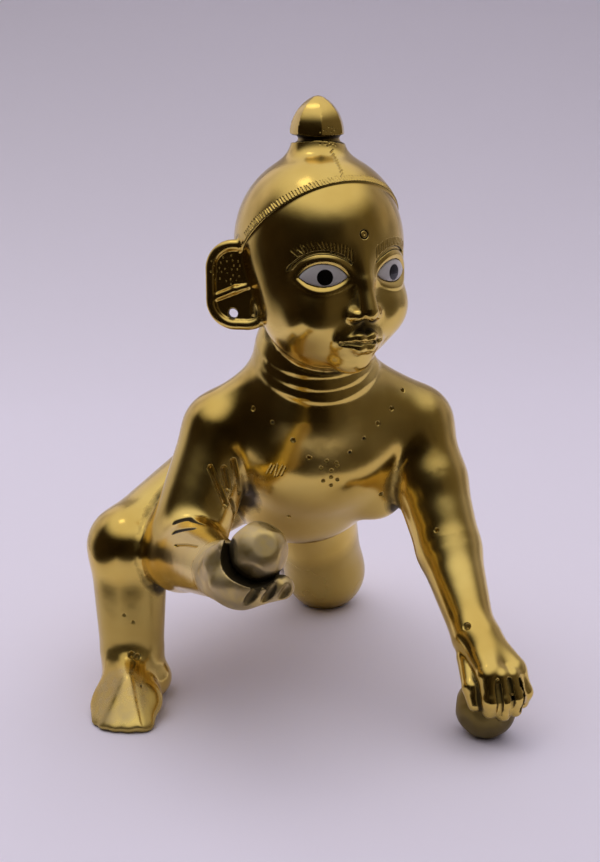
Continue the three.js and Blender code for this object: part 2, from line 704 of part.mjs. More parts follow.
/** A solid from one of the library's own closed geometries, moved to its place. */
function solidOf(geometry, place) {
  const bare = geometry.index ? geometry : geometry.clone();
  bare.deleteAttribute('normal');
  bare.deleteAttribute('uv');
  const merged = mergeVertices(bare, 1e-4).applyMatrix4(place);
  return solid({ places: [...merged.attributes.position.array], corners: [...merged.index.array] });
}

function meshOf(name, body, material) {
  const { vertProperties, triVerts, numProp } = body.getMesh();
  const geometry = new THREE.BufferGeometry();
  geometry.setAttribute('position', new THREE.InterleavedBufferAttribute(
    new THREE.InterleavedBuffer(vertProperties, numProp), 3, 0,
  ));
  geometry.setIndex(new THREE.BufferAttribute(triVerts, 1));
  const mesh = new THREE.Mesh(geometry, material);
  mesh.name = name;
  return mesh;
}

/** An upright almond, `grown` wider than an inlay all round, from `back` behind its corners to `front`. */
function almondBlock(grown, back, front) {
  const radiusOf = (height) => ((EYE_LENGTH / 2) ** 2 + height ** 2) / (2 * height);
  const upper = { radius: radiusOf(EYE_RISE) + grown, centre: EYE_RISE - radiusOf(EYE_RISE) };
  const lower = { radius: radiusOf(EYE_DROP) + grown, centre: radiusOf(EYE_DROP) - EYE_DROP };
  const spread = upper.radius ** 2 - lower.radius ** 2 - upper.centre ** 2 + lower.centre ** 2;
  const level = spread / (2 * (lower.centre - upper.centre));
  const reach = Math.sqrt(upper.radius ** 2 - (level - upper.centre) ** 2);
  const tilt = ({ centre }) => Math.atan2(level - centre, reach);
  const outline = new THREE.Shape();
  outline.absarc(0, upper.centre, upper.radius, tilt(upper), Math.PI - tilt(upper), false);
  outline.absarc(0, lower.centre, lower.radius, Math.PI - tilt(lower), 2 * Math.PI + tilt(lower), false);
  return new THREE.ExtrudeGeometry(outline, { depth: front + back, bevelEnabled: false, curveSegments: 8 })
    .translate(0, 0, -back)
    .rotateX(Math.PI / 2);
}

/** A frame of the drawing inside others, with its place in millimetres. */
function real(...frames) {
  const whole = frames.reduce((outer, inner) => outer.multiply(inner), new THREE.Matrix4());
  return whole.setPosition(new THREE.Vector3().setFromMatrixPosition(whole).multiplyScalar(UNIT));
}

/** An inlay: an almond block, with a dome in front that passes through its two corners. */
function inlay(side) {
  const centre = Math.sqrt(EYE_BULGE ** 2 - (EYE_LENGTH / 2) ** 2);
  const place = real(HEAD, eyeFrame(side));
  const dome = new THREE.SphereGeometry(EYE_BULGE, 36, 24).rotateX(Math.PI / 2).translate(0, centre, 0);
  return solidOf(almondBlock(0, EYE_THICKNESS, EYE_BULGE), place).intersect(solidOf(dome, place));
}

function socket(side) {
  const block = almondBlock(INLAY_GAP, EYE_THICKNESS + INLAY_GAP, EYE_BULGE);
  return solidOf(block, real(HEAD, eyeFrame(side)));
}

function lobeHole(side) {
  const [length, sides] = [6 * UNIT, 12];
  const bore = new THREE.CylinderGeometry(LOBE_HOLE / 2, LOBE_HOLE / 2, length, sides)
    .translate(side * LOBE.x * UNIT, LOBE.y * UNIT, LOBE.z * UNIT);
  return solidOf(bore, real(HEAD, earFrame(side)));
}

/** A block under the ground, which reaches further than the casting on every side. */
function ground() {
  const depth = 10 * UNIT;
  const box = new THREE.BoxGeometry(2 * HEIGHT, 2 * HEIGHT, depth).translate(0, 0, -depth / 2);
  return solidOf(box, new THREE.Matrix4());
}

// The balls in which a lost detail counts more than elsewhere, for the faces that are spent on it
const HEAD_DETAIL = { centre: at(1, -14, 82), radius: 24, weight: 4 };
const RIGHT_HAND_DETAIL = { centre: at(-19, -39, 36), radius: 11, weight: 3 };
const LEFT_HAND_DETAIL = { centre: at(27, -38, 8), radius: 11, weight: 3 };
const FOOT_DETAIL = { centre: at(-33, -12, 4), radius: 14, weight: 2 };

function importance(x, y, z) {
  const place = at(x, y, z);
  const details = [HEAD_DETAIL, RIGHT_HAND_DETAIL, LEFT_HAND_DETAIL, FOOT_DETAIL];
  const found = details.find(({ centre, radius }) => centre.distanceTo(place) < radius);
  return found ? found.weight : 1;
}

/** The casting, flat where it stands on the ground, with its sockets and pierced lobes. */
function figure() {
  const low = at(-48, -52, -3);
  const high = at(40, 76, DRAWN_HEIGHT + 4);
  const { places, corners } = packed(thinned(meshed(casting(), low, high, STEP), FACES, importance));
  const whole = solid({ places: places.map((part) => part * UNIT), corners }).subtract(ground());
  const carved = [-1, 1].reduce((body, side) => body.subtract(socket(side)).subtract(lobeHole(side)), whole);
  // A hollow that the sampling shuts in between two fingers is filled: only the outer body is kept
  return carved.decompose().reduce((largest, body) => (body.volume() > largest.volume() ? body : largest));
}

const group = new THREE.Group();
group.add(meshOf('figure', figure(), BRASS));
group.add(meshOf('right_eye', inlay(-1), ENAMEL));
group.add(meshOf('left_eye', inlay(1), ENAMEL));

// The origin is on the ground, under the middle of the outline
const outline = new THREE.Box3().setFromObject(group).getCenter(at(0, 0, 0));
group.position.set(-outline.x, -outline.y, 0);

export default group;
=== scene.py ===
"""The looks of a small cast brass figure of a crawling infant, with an enamel eye in each socket.

The casting is one skin over round forms that grow into each other. They are drawn on a figure that is
DRAWN_HEIGHT units high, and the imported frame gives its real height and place. Geometry Nodes then press
the marks of the graver, the punch and the file into the skin. Objects are in metres.
"""

import math
from concurrent.futures import ThreadPoolExecutor
from itertools import product

import bpy
import numpy as np
from mathutils import Matrix, Vector


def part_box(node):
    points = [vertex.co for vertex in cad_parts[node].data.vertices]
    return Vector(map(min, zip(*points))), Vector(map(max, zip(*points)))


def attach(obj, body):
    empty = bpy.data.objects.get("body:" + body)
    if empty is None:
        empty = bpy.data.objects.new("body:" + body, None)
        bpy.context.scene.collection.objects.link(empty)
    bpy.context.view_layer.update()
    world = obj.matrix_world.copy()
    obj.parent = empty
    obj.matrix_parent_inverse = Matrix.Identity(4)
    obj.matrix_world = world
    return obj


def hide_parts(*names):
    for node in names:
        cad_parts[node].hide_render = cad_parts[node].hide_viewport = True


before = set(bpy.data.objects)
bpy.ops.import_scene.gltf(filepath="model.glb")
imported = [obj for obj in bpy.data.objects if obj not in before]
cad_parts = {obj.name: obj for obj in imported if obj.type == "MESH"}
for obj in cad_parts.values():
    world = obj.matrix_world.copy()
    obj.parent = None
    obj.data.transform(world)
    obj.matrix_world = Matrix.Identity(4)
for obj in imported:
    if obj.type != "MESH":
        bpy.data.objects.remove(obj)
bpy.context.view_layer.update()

# The drawing is in units, and one of them is a millimetre on a figure 110 mm high
DRAWN_HEIGHT = 110
FIGURE_LOW, FIGURE_HIGH = (np.array(corner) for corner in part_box("figure"))
UNIT = (FIGURE_HIGH[2] - FIGURE_LOW[2]) / DRAWN_HEIGHT
MM = 0.001

# Real sizes of the inlaid eyes, in millimetres, the same as those of the inlays in the solids
EYE_LENGTH = 8
EYE_RISE = 2.2
EYE_DROP = 1.5
EYE_THICKNESS = 1.5
EYE_BULGE = 9
PUPIL_RADIUS = 1.35
CEMENT_LINE = 0.08  # the dark line that shows round an inlay

# Widths of the fillets, from the folds of the carving to the meeting of the great masses
CRISP = 0.5
SOFT = 1.2
ROUND = 2.5
FLESH = 3
FULL = 6
MASS = 8


# Forms are functions of arrays x, y and z that give the distance to a surface, negative inside

def ball(centre, radius):
    cx, cy, cz = centre
    return lambda x, y, z: np.sqrt((x - cx) ** 2 + (y - cy) ** 2 + (z - cz) ** 2) - radius


def egg(centre, radii):
    cx, cy, cz = centre
    rx, ry, rz = radii

    def form(x, y, z):
        u, v, w = (x - cx) / rx, (y - cy) / ry, (z - cz) / rz
        reach = np.sqrt(u * u + v * v + w * w)
        slope = np.sqrt((u / rx) ** 2 + (v / ry) ** 2 + (w / rz) ** 2)
        return reach * (reach - 1) / np.maximum(slope, 1e-6)
    return form


def segment(a, b):
    """A straight length of limb between two joints, each an (x, y, z, radius), with round ends."""
    ax, ay, az, radius = a
    bx, by, bz = (end - start for start, end in zip(a[:3], b[:3]))
    length_squared = bx * bx + by * by + bz * bz
    taper = b[3] - radius

    def form(x, y, z):
        px, py, pz = x - ax, y - ay, z - az
        share = np.clip((px * bx + py * by + pz * bz) / length_squared, 0, 1)
        gap = np.sqrt((px - share * bx) ** 2 + (py - share * by) ** 2 + (pz - share * bz) ** 2)
        return gap - radius - share * taper
    return form


def blend(a, b, k):
    """The lower of two distances, rounded over a width of k where they meet."""
    overlap = np.maximum(k - np.abs(a - b), 0) / k
    return np.minimum(a, b) - overlap ** 3 * k / 6


def joined(fillet, *forms):
    def form(x, y, z):
        distance = forms[0](x, y, z)
        for other in forms[1:]:
            distance = blend(distance, other(x, y, z), fillet)
        return distance
    return form


def hollowed(fillet, form, tool):
    """A form with another one pressed out of it."""
    return lambda x, y, z: -blend(-form(x, y, z), tool(x, y, z), fillet)


def chain(fillet, *joints):
    return joined(fillet, *(segment(a, b) for a, b in zip(joints, joints[1:])))


def turned(origin, yaw=0, pitch=0, roll=0, scale=1):
    """A frame of reference: its origin, turned by roll about Y, then pitch about X, then yaw about Z."""
    place = Matrix.Translation(origin)
    for angle, axis in (yaw, "Z"), (pitch, "X"), (roll, "Y"):
        place = place @ Matrix.Rotation(math.radians(angle), 4, axis)
    return place @ Matrix.Scale(scale, 4)


def placed(place, form):
    """A form that is drawn in a frame's own coordinates."""
    (a, b, c, j), (d, e, f, k), (g, h, i, m) = (tuple(row) for row in place.inverted()[:3])
    return lambda x, y, z: form(
        a * x + b * y + c * z + j,
        d * x + e * y + f * z + k,
        g * x + h * y + i * z + m,
    )


def paired(form):
    """A form on +X, and its mirror image on -X."""
    return lambda x, y, z: form(np.abs(x), y, z)


def within(centre, radius, clear, form):
    """A form that lies within a ball. Further than `clear` from the ball, the ball stands for it."""
    bound = ball(centre, radius)

    def bounded(x, y, z):
        distance = bound(x, y, z)
        near = distance <= clear
        distance[near] = form(x[near], y[near], z[near])
        return distance
    return bounded


# The head, in a frame of its own that looks a little towards the figure's left

HEAD = turned((1.4, -12.5, 81.5), yaw=16)
LOBE = (1.6, 0, -4.6)

# The skull, and the line of the hair on it, which falls in a plane from the forehead to each ear
SKULL_MIDDLE = 0, 1.2, 3.7
SKULL_RADII = 14.3, 15.4, 15.2
HAIR_FRONT, HAIR_HEIGHT, HAIR_SLOPE, HAIR_STEP = -9.54, 14.8, 0.96, 0.4


def eye_frame(side):
    return turned((6.5 * side, -11.9, -0.4), yaw=26 * side)


def ear_frame(side):
    return turned((14.2 * side, 3.2, -3.6), yaw=38 * side)


def almond(u, v, length, rise, drop):
    """Distance, in the plane of an eye, to the almond between its two arcs."""
    upper, lower = (((length / 2) ** 2 + height ** 2) / (2 * height) for height in (rise, drop))
    above = np.hypot(u, v + upper - rise) - upper
    below = np.hypot(u, v - lower + drop) - lower
    return np.maximum(above, below)


def eye_outline(form_of_outline):
    """A form round each eye, worked out from the distance to its almond and the depth behind its plane."""
    size = [length * MM / UNIT for length in (EYE_LENGTH, EYE_RISE, EYE_DROP)]
    return paired(placed(eye_frame(1), lambda u, back, v: form_of_outline(almond(u, v, *size), back, v)))


def bare_head():
    skull = egg(SKULL_MIDDLE, SKULL_RADII)
    jaw = egg((0, -2.6, -6.3), (12.3, 11.3, 12))
    cheeks = paired(ball((6.2, -8.2, -6.6), 5.1))
    chin = egg((0, -10.2, -14.6), (3.6, 3, 3))
    flesh = joined(4, joined(FULL, skull, jaw), cheeks, chin)
    hollows = paired(egg((6.4, -15.8, -0.2), (4.8, 2.3, 3)))
    return skull, hollowed(ROUND, flesh, hollows)


def hair(skull):
    """The cap of hair: a step above the skin, behind the hair line."""
    def form(x, y, z):
        behind_line = (z - HAIR_HEIGHT + HAIR_SLOPE * (y - HAIR_FRONT)) / math.hypot(1, HAIR_SLOPE)
        return np.maximum(skull(x, y, z) - HAIR_STEP, -behind_line)
    return form


def lids(skin):
    """The rim of the lids, which follows the skin at a small distance round each eye."""
    reach, thickness, sunk, clear = 0.85, 0.6, 0.3, 4
    ridge = eye_outline(lambda distance, back, v: np.where(back > clear, clear, distance - reach))
    return lambda x, y, z: np.hypot(ridge(x, y, z), skin(x, y, z) + sunk) - thickness


def lid_crease(skin):
    """The fine groove over the upper lid."""
    reach, width, clear, fade_start, fade = 1.95, 0.3, 4, 1.3, 0.4

    def outline(distance, back, v):
        beside = np.hypot(distance - reach, fade * np.maximum(fade_start - v, 0))
        return np.where(back > clear, clear, beside)

    groove = eye_outline(outline)
    return lambda x, y, z: np.hypot(groove(x, y, z), skin(x, y, z)) - width


def sockets():
    """The flat-backed pits for the inlays, with the dark cement line round them."""
    depth = (EYE_THICKNESS + CEMENT_LINE) * MM / UNIT
    margin = CEMENT_LINE * MM / UNIT
    return eye_outline(lambda distance, back, v: np.maximum(distance - margin, back - depth))


def nose():
    bridge = chain(SOFT, (0, -12.2, 4, 1.5), (0, -14.4, -1.4, 1.2), (0, -16, -6, 1.6))
    wings = paired(egg((1.8, -14.7, -6.7), (1.05, 1.6, 1)))
    return joined(SOFT, bridge, wings)


def nostrils():
    return paired(egg((0.95, -16.3, -7.7), (0.5, 0.75, 0.55)))


def mouth():
    upper = chain(SOFT, (0, -14.8, -10.7, 0.75), (1.1, -14.8, -10.5, 0.8), (3.9, -12.9, -11.1, 0.35))
    lower = chain(SOFT, (0, -14.4, -12.2, 1), (1, -14.4, -12.2, 1), (3.2, -13.2, -11.9, 0.45))
    return paired(joined(0.3, upper, lower))


def between_lips():
    line = (0, -15.7, -11.4, 0.26), (1.1, -15.6, -11.4, 0.26), (4, -13.4, -11.5, 0.2)
    return paired(chain(CRISP, *line))


MUZZLE = egg((0, -11.8, -11.2), (4.8, 2.9, 3.4))
PHILTRUM = segment((0, -15.6, -8.6, 0.45), (0, -15.6, -9.5, 0.4))


def ear():
    """A plate in a round-cornered rim, with a fold across it and a ridge within the rim."""
    half_width, half_height, corner = 5.2, 6.9, 4.2
    middle_u, middle_v, rim_radius, web_depth, web_half = 0.2, 0.4, 0.95, 0.45, 0.7

    def outline(u, v):
        du = np.abs(u - middle_u) - half_width + corner
        dv = np.abs(v - middle_v) - half_height + corner
        return np.hypot(np.maximum(du, 0), np.maximum(dv, 0)) + np.minimum(np.maximum(du, dv), 0) - corner

    def rim(u, w, v):
        return np.hypot(outline(u, v), w) - rim_radius

    def web(u, w, v):
        return np.maximum(outline(u, v), np.abs(w - web_depth) - web_half)

    fold = chain(CRISP, (4.8, 0, -1.9, 0.7), (1, -0.3, -0.3, 0.65), (-1.4, 0, 0.4, 0.5))
    tragus = segment((-2.4, -0.2, -2.4, 0.8), (-2.2, 0, -4.4, 0.6))
    whole = joined(CRISP, rim, web, fold, tragus)
    lobe_hole = segment((LOBE[0], -3, LOBE[2], 0.85), (LOBE[0], 3, LOBE[2], 0.85))
    return placed(ear_frame(1), hollowed(0.3, whole, lobe_hole))


def topknot():
    """A filed dome with a blunt tip on a short neck, with a groove under the front of its rim."""
    middle_x, middle_y, rim_z = 0.15, 2.3, 22
    radius, arc, facets = 4.6, 7.1, 7
    turn, roundness, spread = 0.35, 0.2, 1.03
    tip = DRAWN_HEIGHT - HEAD.translation.z
    neck = chain(CRISP, (middle_x, middle_y, 14.8, 6), (middle_x, middle_y, 21.6, 4.35))
    groove_x, groove_y, groove_radius, groove_width = middle_x + 0.5, middle_y + 0.6, 4.35, 0.75

    def dome(x, y, z):
        dx, dy = x - middle_x, y - middle_y
        angles = (math.tau * (n + turn) / facets for n in range(facets))
        flats = [dx * math.cos(angle) + dy * math.sin(angle) for angle in angles]
        out = roundness * np.hypot(dx, dy) + (1 - roundness) * spread * np.maximum.reduce(flats)
        side = np.hypot(out + arc - radius, z - rim_z) - arc
        return -blend(-np.maximum(side, rim_z - z), tip - z, 0.5)

    def groove(x, y, z):
        ring = np.hypot(x - groove_x, y - groove_y) - groove_radius
        return np.hypot(ring, z - rim_z + groove_width) - groove_width

    return neck, dome, groove


def head():
    skull, face = bare_head()
    skin = joined(0.9, face, hair(skull))
    neck, dome, groove = topknot()
    lidded = hollowed(0.25, joined(0.8, skin, lids(skin)), lid_crease(skin))
    features = hollowed(0.3, joined(2, joined(FLESH, lidded, nose()), MUZZLE), nostrils())
    spoken = hollowed(0.6, joined(0.8, features, mouth()), PHILTRUM)
    eared = joined(1, hollowed(0.3, spoken, between_lips()), paired(ear()))
    crowned = joined(CRISP, hollowed(0.4, joined(FLESH, eared, neck), groove), dome)
    carved = sockets()
    return placed(HEAD, lambda x, y, z: np.maximum(crowned(x, y, z), -carved(x, y, z)))


def neck_folds(skin):
    """Ridges on the skin, where it meets planes that tilt down to the front."""
    folds = (62.2, 0.42), (59.8, 0.5), (57.4, 0.62)
    front, thickness, depth, girth = -17.6, 0.78, 0.65, 14
    throat_x, throat_y, throat_z = 2.5, -11, 60

    def form(x, y, z):
        distance = skin(x, y, z)
        out = np.hypot(x - throat_x, y - throat_y)
        near = (np.abs(distance) <= SOFT) & (out <= girth) & (np.abs(z - throat_z) <= girth)
        flat, y, z = distance[near], y[near], z[near]
        fade = 1 - np.maximum(out[near] - girth + FLESH, 0) / FLESH
        folded = flat
        for height, tilt in folds:
            from_plane = (z - height - tilt * (y - front)) / math.hypot(1, tilt)
            folded = blend(folded, np.hypot(from_plane, flat + depth) - thickness * fade, 1.1)
        distance[near] = folded
        return distance
    return form


def torso():
    chest = placed(turned((3.2, -3.5, 46), pitch=-25, roll=-3), egg((0, 0, 0), (17, 11.5, 12.5)))
    belly = egg((1.6, 6, 38.3), (15.2, 13.5, 14.3))
    pelvis = egg((-1.5, 20, 37), (14, 12, 12))
    buttocks = [ball((x, 26, 37.5), 9) for x in (-8.5, 5.5)]
    side = egg((14, -3.5, 38), (6, 6, 7))
    neck = segment((1.2, -5.2, 56, 10.8), (0.4, -6.9, 65.5, 9.9))
    trapezius = []
    for x, y, z in (-14.6, -0.5, 49.4), (21, -3.5, 49.6):
        collar = segment((1.8, -6, 53, 8), (x, y - 1, z - 0.5, 7))
        trapezius.append(joined(FULL, collar, segment((0.8, -6.5, 62, 7), (x, y, z + 0.5, 6))))
    seat = joined(FLESH, joined(MASS, chest, belly, pelvis), *buttocks)
    shoulders = joined(FULL, seat, neck, *trapezius, side)
    navel = segment((4.5, -9.2, 31.4, 0.55), (4.7, -8.4, 29.6, 0.7))
    return neck_folds(hollowed(0.6, shoulders, navel))


def faceted_ball(centre, radius, facets, depth):
    """A ball that was filed flat in places: the facets are spread evenly over it."""
    golden_angle = math.pi * (3 - math.sqrt(5))
    normals = []
    for n in range(facets):
        height = 1 - (2 * n + 1) / facets
        out = math.sqrt(1 - height * height)
        normals.append((out * math.cos(golden_angle * n), out * math.sin(golden_angle * n), height))
    whole = ball(centre, radius)
    cx, cy, cz = centre

    def form(x, y, z):
        flats = [(x - cx) * nx + (y - cy) * ny + (z - cz) * nz for nx, ny, nz in normals]
        return -blend(-whole(x, y, z), radius - depth - np.maximum.reduce(flats), 0.25)
    return form


def raised_hand():
    """A cupped palm with its ball, the thumb beside it and the fingers filed into one slab below it."""
    palm = egg((-18.6, -40, 35.4), (5.3, 5.8, 5.4))
    thumb = chain(1, (-21.2, -37, 34.6, 3.9), (-21.7, -40.6, 38.4, 2.6), (-21.2, -42.4, 41.2, 1.3))
    lip = chain(1, (-21.8, -43, 35.8, 2), (-19.2, -45, 36.2, 1.5), (-15.4, -45.4, 36, 1.4))
    slab = chain(0.6, (-18.4, -43.6, 34, 2.5), (-12.4, -44.2, 34.5, 2))
    scoop = egg((0, 0, 0), (0.85, 1.2, 2.3))
    scoops = [placed(turned((x, -46.5, 34.2), roll=32), scoop) for x in (-17.7, -14.9, -12.3)]
    bed = ball((-17, -43.8, 39.9), 5)
    held = faceted_ball((-15.6, -41.6, 40), 4.75, facets=10, depth=0.45)
    cupped = hollowed(0.5, joined(2.6, palm, thumb, lip, slab), bed)
    return joined(0.3, hollowed(0.3, cupped, joined(0.1, *scoops)), held)


def leaning_hand():
    """Leans on the ball on the ground. Its fingers are one slab with saw cuts between them."""
    inner_back = segment((25.6, -31, 16.4, 3.7), (25.6, -37.6, 13, 2.6))
    back = joined(FLESH, inner_back, segment((26.4, -31.5, 16, 3.4), (30.2, -36.4, 12.6, 2.6)))
    rows = [
        [(25, -38.6, 12.6, 1.9), (25, -40.4, 9, 1.6), (25, -40, 6.9, 1.3)],
        [(27.1, -39, 12.6, 1.8), (27.3, -40.8, 9, 1.6), (27.4, -40.3, 6.3, 1.3)],
        [(29.2, -38.6, 12.4, 1.8), (29.7, -40.1, 9.2, 1.6), (29.8, -39.5, 6.5, 1.3)],
        [(30.8, -37.4, 12, 1.8), (31.7, -38.5, 9.2, 1.6), (31.6, -38, 7.2, 1.3)],
    ]
    slab = joined(1.2, *(chain(0.8, *row) for row in rows))
    cuts = []
    for left, right in zip(rows, rows[1:]):
        between = [tuple((a + b) / 2 for a, b in zip(*pair)) for pair in zip(left, right)]
        cuts.append(chain(0.1, *((x, y - 1.5, z, 0.55) for x, y, z, _ in between)))
    thumb = chain(CRISP, (23.6, -32.6, 13.6, 2.2), (22.6, -37.2, 10.4, 1.7), (22.8, -38.6, 7.8, 1.3))
    held = faceted_ball((26.2, -34.8, 5), 5.4, facets=20, depth=0.2)
    whole = joined(1, back, hollowed(0.2, slab, joined(0.1, *cuts)))
    return joined(0.3, joined(CRISP, whole, thumb), held)


def right_arm():
    arm = chain(4, (-15, -1.5, 49, 7.5), (-23.9, -8.5, 28.8, 7), (-20.6, -33, 34, 4.9))
    return joined(2, arm, within((-18.2, -40.5, 37), 12, 4, raised_hand()))


def left_arm():
    joints = (20.8, -4.5, 49, 7.2), (22.9, -9.5, 39.5, 6.9), (24.5, -17, 28.5, 5.9), (25.2, -30, 17, 3.9)
    return joined(FLESH, chain(2, *joints), within((27.5, -36, 8), 13, 4, leaning_hand()))


def foot():
    """In a frame on its sole, under the ankle: -Y to the toes, +Z to the ankle, great toe at +X."""
    heel = egg((1.2, -1.2, 3.1), (6.3, 6.6, 4.3))
    instep = segment((0, 0, 6.2, 5.4), (-0.2, -9, 4, 4.4))
    pad = egg((0.1, -10.6, 3), (6.8, 6.4, 4.4))
    tips = (4, -15.8, 2.2), (1.5, -16.5, 1.9), (-0.9, -16.4, 1.8), (-3.1, -15.7, 1.7), (-4.9, -14.3, 1.6)
    toes = [segment((0.9 * x, y + 4, 2.6, radius), (x, y, 1.7, radius)) for x, y, radius in tips]
    whole = joined(1.6, joined(FLESH, heel, instep, pad), *toes)
    filed = ((-0.62, -0.42, 0.66), 9.9), ((0.56, -0.46, 0.69), 11.4), ((-0.1, -0.72, 0.69), 13.6)

    def form(x, y, z):
        distance = whole(x, y, z)
        for (nx, ny, nz), reach in filed:
            distance = -blend(-distance, reach - nx * x - ny * y - nz * z, SOFT)
        return distance
    return form


def right_leg():
    leg = chain(FLESH, (-8.6, 18, 36.4, 10.6), (-33.1, -1.5, 28.2, 7.3), (-33.3, -3.9, 9.5, 6))
    standing = placed(turned((-33.4, -4.4, 0), yaw=-13), foot())
    return joined(FLESH, leg, within((-33, -9, 4), 16, 4, standing))


def left_leg():
    """The foot behind the knee that is down lies on its back, sole up, and is a little smaller."""
    leg = chain(4, (4.5, 21, 35, 10.5), (12.2, 31.5, 7.6, 8.2), (9.5, 53, 5.6, 4.6))
    size = 0.82
    lying = placed(turned((9.5, 53, 9.6), yaw=4, scale=-size) @ turned((0, 0, 0), pitch=-30), foot())
    return joined(FLESH, leg, within((9, 60, 6), 16, 4, lambda x, y, z: lying(x, y, z) * size))


def casting():
    """The whole casting, cut flat where it stands on the ground."""
    body = joined(FLESH, torso(), right_leg(), left_leg())
    limbed = joined(ROUND, body, right_arm(), left_arm())
    whole = joined(SOFT, limbed, within((1, -11, 87), 30, 4, head()))
    return lambda x, y, z: np.maximum(whole(x, y, z), -z)


CASTING = casting()


# From the forms to a mesh. Places are rows of x, y and z, and faces are rows of three of them.

def distances(form, places):
    """The form's value at each place, worked out in portions, side by side."""
    portion = 16000
    portions = np.array_split(places, max(1, len(places) // portion))
    with ThreadPoolExecutor() as pool:
        return np.concatenate(list(pool.map(lambda rows: form(*rows.T), portions)))


def slopes(form, places, nudge=0.02):
    steps = [np.eye(3)[axis] * nudge for axis in range(3)]
    rises = [distances(form, places + step) - distances(form, places - step) for step in steps]
    return np.stack(rises, axis=1) / (2 * nudge)


def settled(form, places, rounds=2):
    """The places, moved onto the form's surface along its slope."""
    least_slope, longest_move = 0.25, 0.5
    for _ in range(rounds):
        slope = slopes(form, places)
        steepness = np.maximum((slope ** 2).sum(axis=1), least_slope)
        move = np.clip(distances(form, places) / steepness, -longest_move, longest_move)
        places = places - slope * move[:, None]
    return places


def sampled(form, low, high, step, block=4):
    """The form's values on a grid, worked out closely only in the blocks that the surface crosses."""
    counts = np.ceil((high - low) / (step * block)).astype(int)
    blocks = np.stack(np.meshgrid(*map(np.arange, counts), indexing="ij"), axis=-1).reshape(-1, 3)
    middles = distances(form, low + (blocks + 0.5) * step * block).reshape(counts)
    slack = 1.25  # a blended form can give up to a quarter more than the true distance
    near = np.abs(middles) < (slack * math.sqrt(3) * block / 2 + 1) * step
    values = middles.repeat(block, 0).repeat(block, 1).repeat(block, 2)
    offsets = np.array(list(product(range(block), repeat=3)))
    cells = (np.argwhere(near)[:, None] * block + offsets).reshape(-1, 3)
    values[tuple(cells.T)] = distances(form, low + cells * step)
    return values


def skinned(values, low, step):
    """A closed mesh of quads: a place in every cell that the surface crosses, a quad round every edge."""
    inside = values < 0
    corners = np.array(list(product((0, 1), repeat=3)))
    shape = np.array(values.shape) - 1
    windows = [inside[tuple(slice(c, c + n) for c, n in zip(corner, shape))] for corner in corners]
    count = np.sum(windows, axis=0)
    cells = np.argwhere((count > 0) & (count < 8))
    number = np.full(shape, -1)
    number[tuple(cells.T)] = np.arange(len(cells))
    total, crossings = np.zeros((len(cells), 3)), np.zeros(len(cells))
    for corner, axis in product(corners, range(3)):
        if corner[axis]:
            continue
        along = np.eye(3, dtype=int)[axis]
        a, b = values[tuple((cells + corner).T)], values[tuple((cells + corner + along).T)]
        crossed = (a < 0) != (b < 0)
        share = np.where(crossed, a / np.where(crossed, a - b, 1), 0)
        total += (corner + share[:, None] * along) * crossed[:, None]
        crossings += crossed
    places = low + (cells + total / crossings[:, None]) * step
    quads = []
    for axis in range(3):
        along, across, up = (np.eye(3, dtype=int)[(axis + turn) % 3] for turn in range(3))
        changed = np.argwhere(inside[tuple(slice(0, n - k) for n, k in zip(values.shape, along))]
                              != inside[tuple(slice(k, None) for k in along)])
        around = [changed - across - up, changed - up, changed, changed - across]
        quad = np.stack([number[tuple(cell.T)] for cell in around], axis=1)
        outward = inside[tuple(changed.T)]
        quads.append(np.where(outward[:, None], quad, quad[:, ::-1]))
    return places, np.concatenate(quads)


def halved(places, quads):
    """Two triangles for each quad, on either side of its shorter diagonal."""
    first, second = (np.linalg.norm(places[quads[:, n]] - places[quads[:, n + 2]], axis=1) for n in (0, 1))
    a, b, c, d = np.where((first < second)[:, None], quads, np.roll(quads, -1, axis=1)).T
    return np.concatenate([np.stack([a, b, c], axis=1), np.stack([a, c, d], axis=1)])


def sides_of(faces):
    """The mesh's edges as pairs of places, and for each face the numbers of its three edges."""
    pairs = np.sort(np.stack([faces, np.roll(faces, -1, axis=1)], axis=-1), axis=-1).reshape(-1, 2)
    keys = pairs[:, 0].astype(np.int64) * (faces.max() + 1) + pairs[:, 1]
    _, first, edge_of = np.unique(keys, return_index=True, return_inverse=True)
    return pairs[first], edge_of.reshape(-1, 3)


def split(places, faces, wanted):
    """The mesh with every edge halved that is longer than wanted there, or nothing if there is none."""
    edges, edge_of = sides_of(faces)
    a, b = places[edges[:, 0]], places[edges[:, 1]]
    long = np.linalg.norm(a - b, axis=1) > wanted((a + b) / 2)
    if not long.any():
        return None
    middle = np.full(len(edges), -1)
    middle[long] = len(places) + np.arange(long.sum())
    places = np.concatenate([places, (a + b)[long] / 2])
    halves = middle[edge_of]
    marked = halves >= 0
    count = marked.sum(axis=1)
    # Each face is turned so that its only halved side comes first, or its only whole side comes last
    shift = np.where(count == 1, marked.argmax(axis=1), (marked.argmin(axis=1) + 1) % 3)
    order = (shift[:, None] + np.arange(3)) % 3
    (p, q, r), (pq, qr, rp) = np.take_along_axis(faces, order, 1).T, np.take_along_axis(halves, order, 1).T
    kinds = {
        0: [(p, q, r)],
        1: [(p, pq, r), (pq, q, r)],
        2: [(pq, q, qr), (p, pq, qr), (p, qr, r)],
        3: [(p, pq, rp), (pq, q, qr), (rp, qr, r), (pq, qr, rp)],
    }
    made = []
    for kind, triangles in kinds.items():
        made += [np.stack(corners, axis=1)[count == kind] for corners in triangles]
    return places, np.concatenate(made)


def evened(places, faces):
    """The places, each drawn halfway to the middle of its neighbours."""
    edges, _ = sides_of(faces)
    total, count = np.zeros_like(places), np.zeros(len(places))
    for here, there in (edges.T, edges.T[::-1]):
        for axis in range(3):
            total[:, axis] += np.bincount(here, places[there, axis], len(places))
        count += np.bincount(here, minlength=len(places))
    return (places + total / count[:, None]) / 2


# The marks of the tools, as paths and places in drawn units

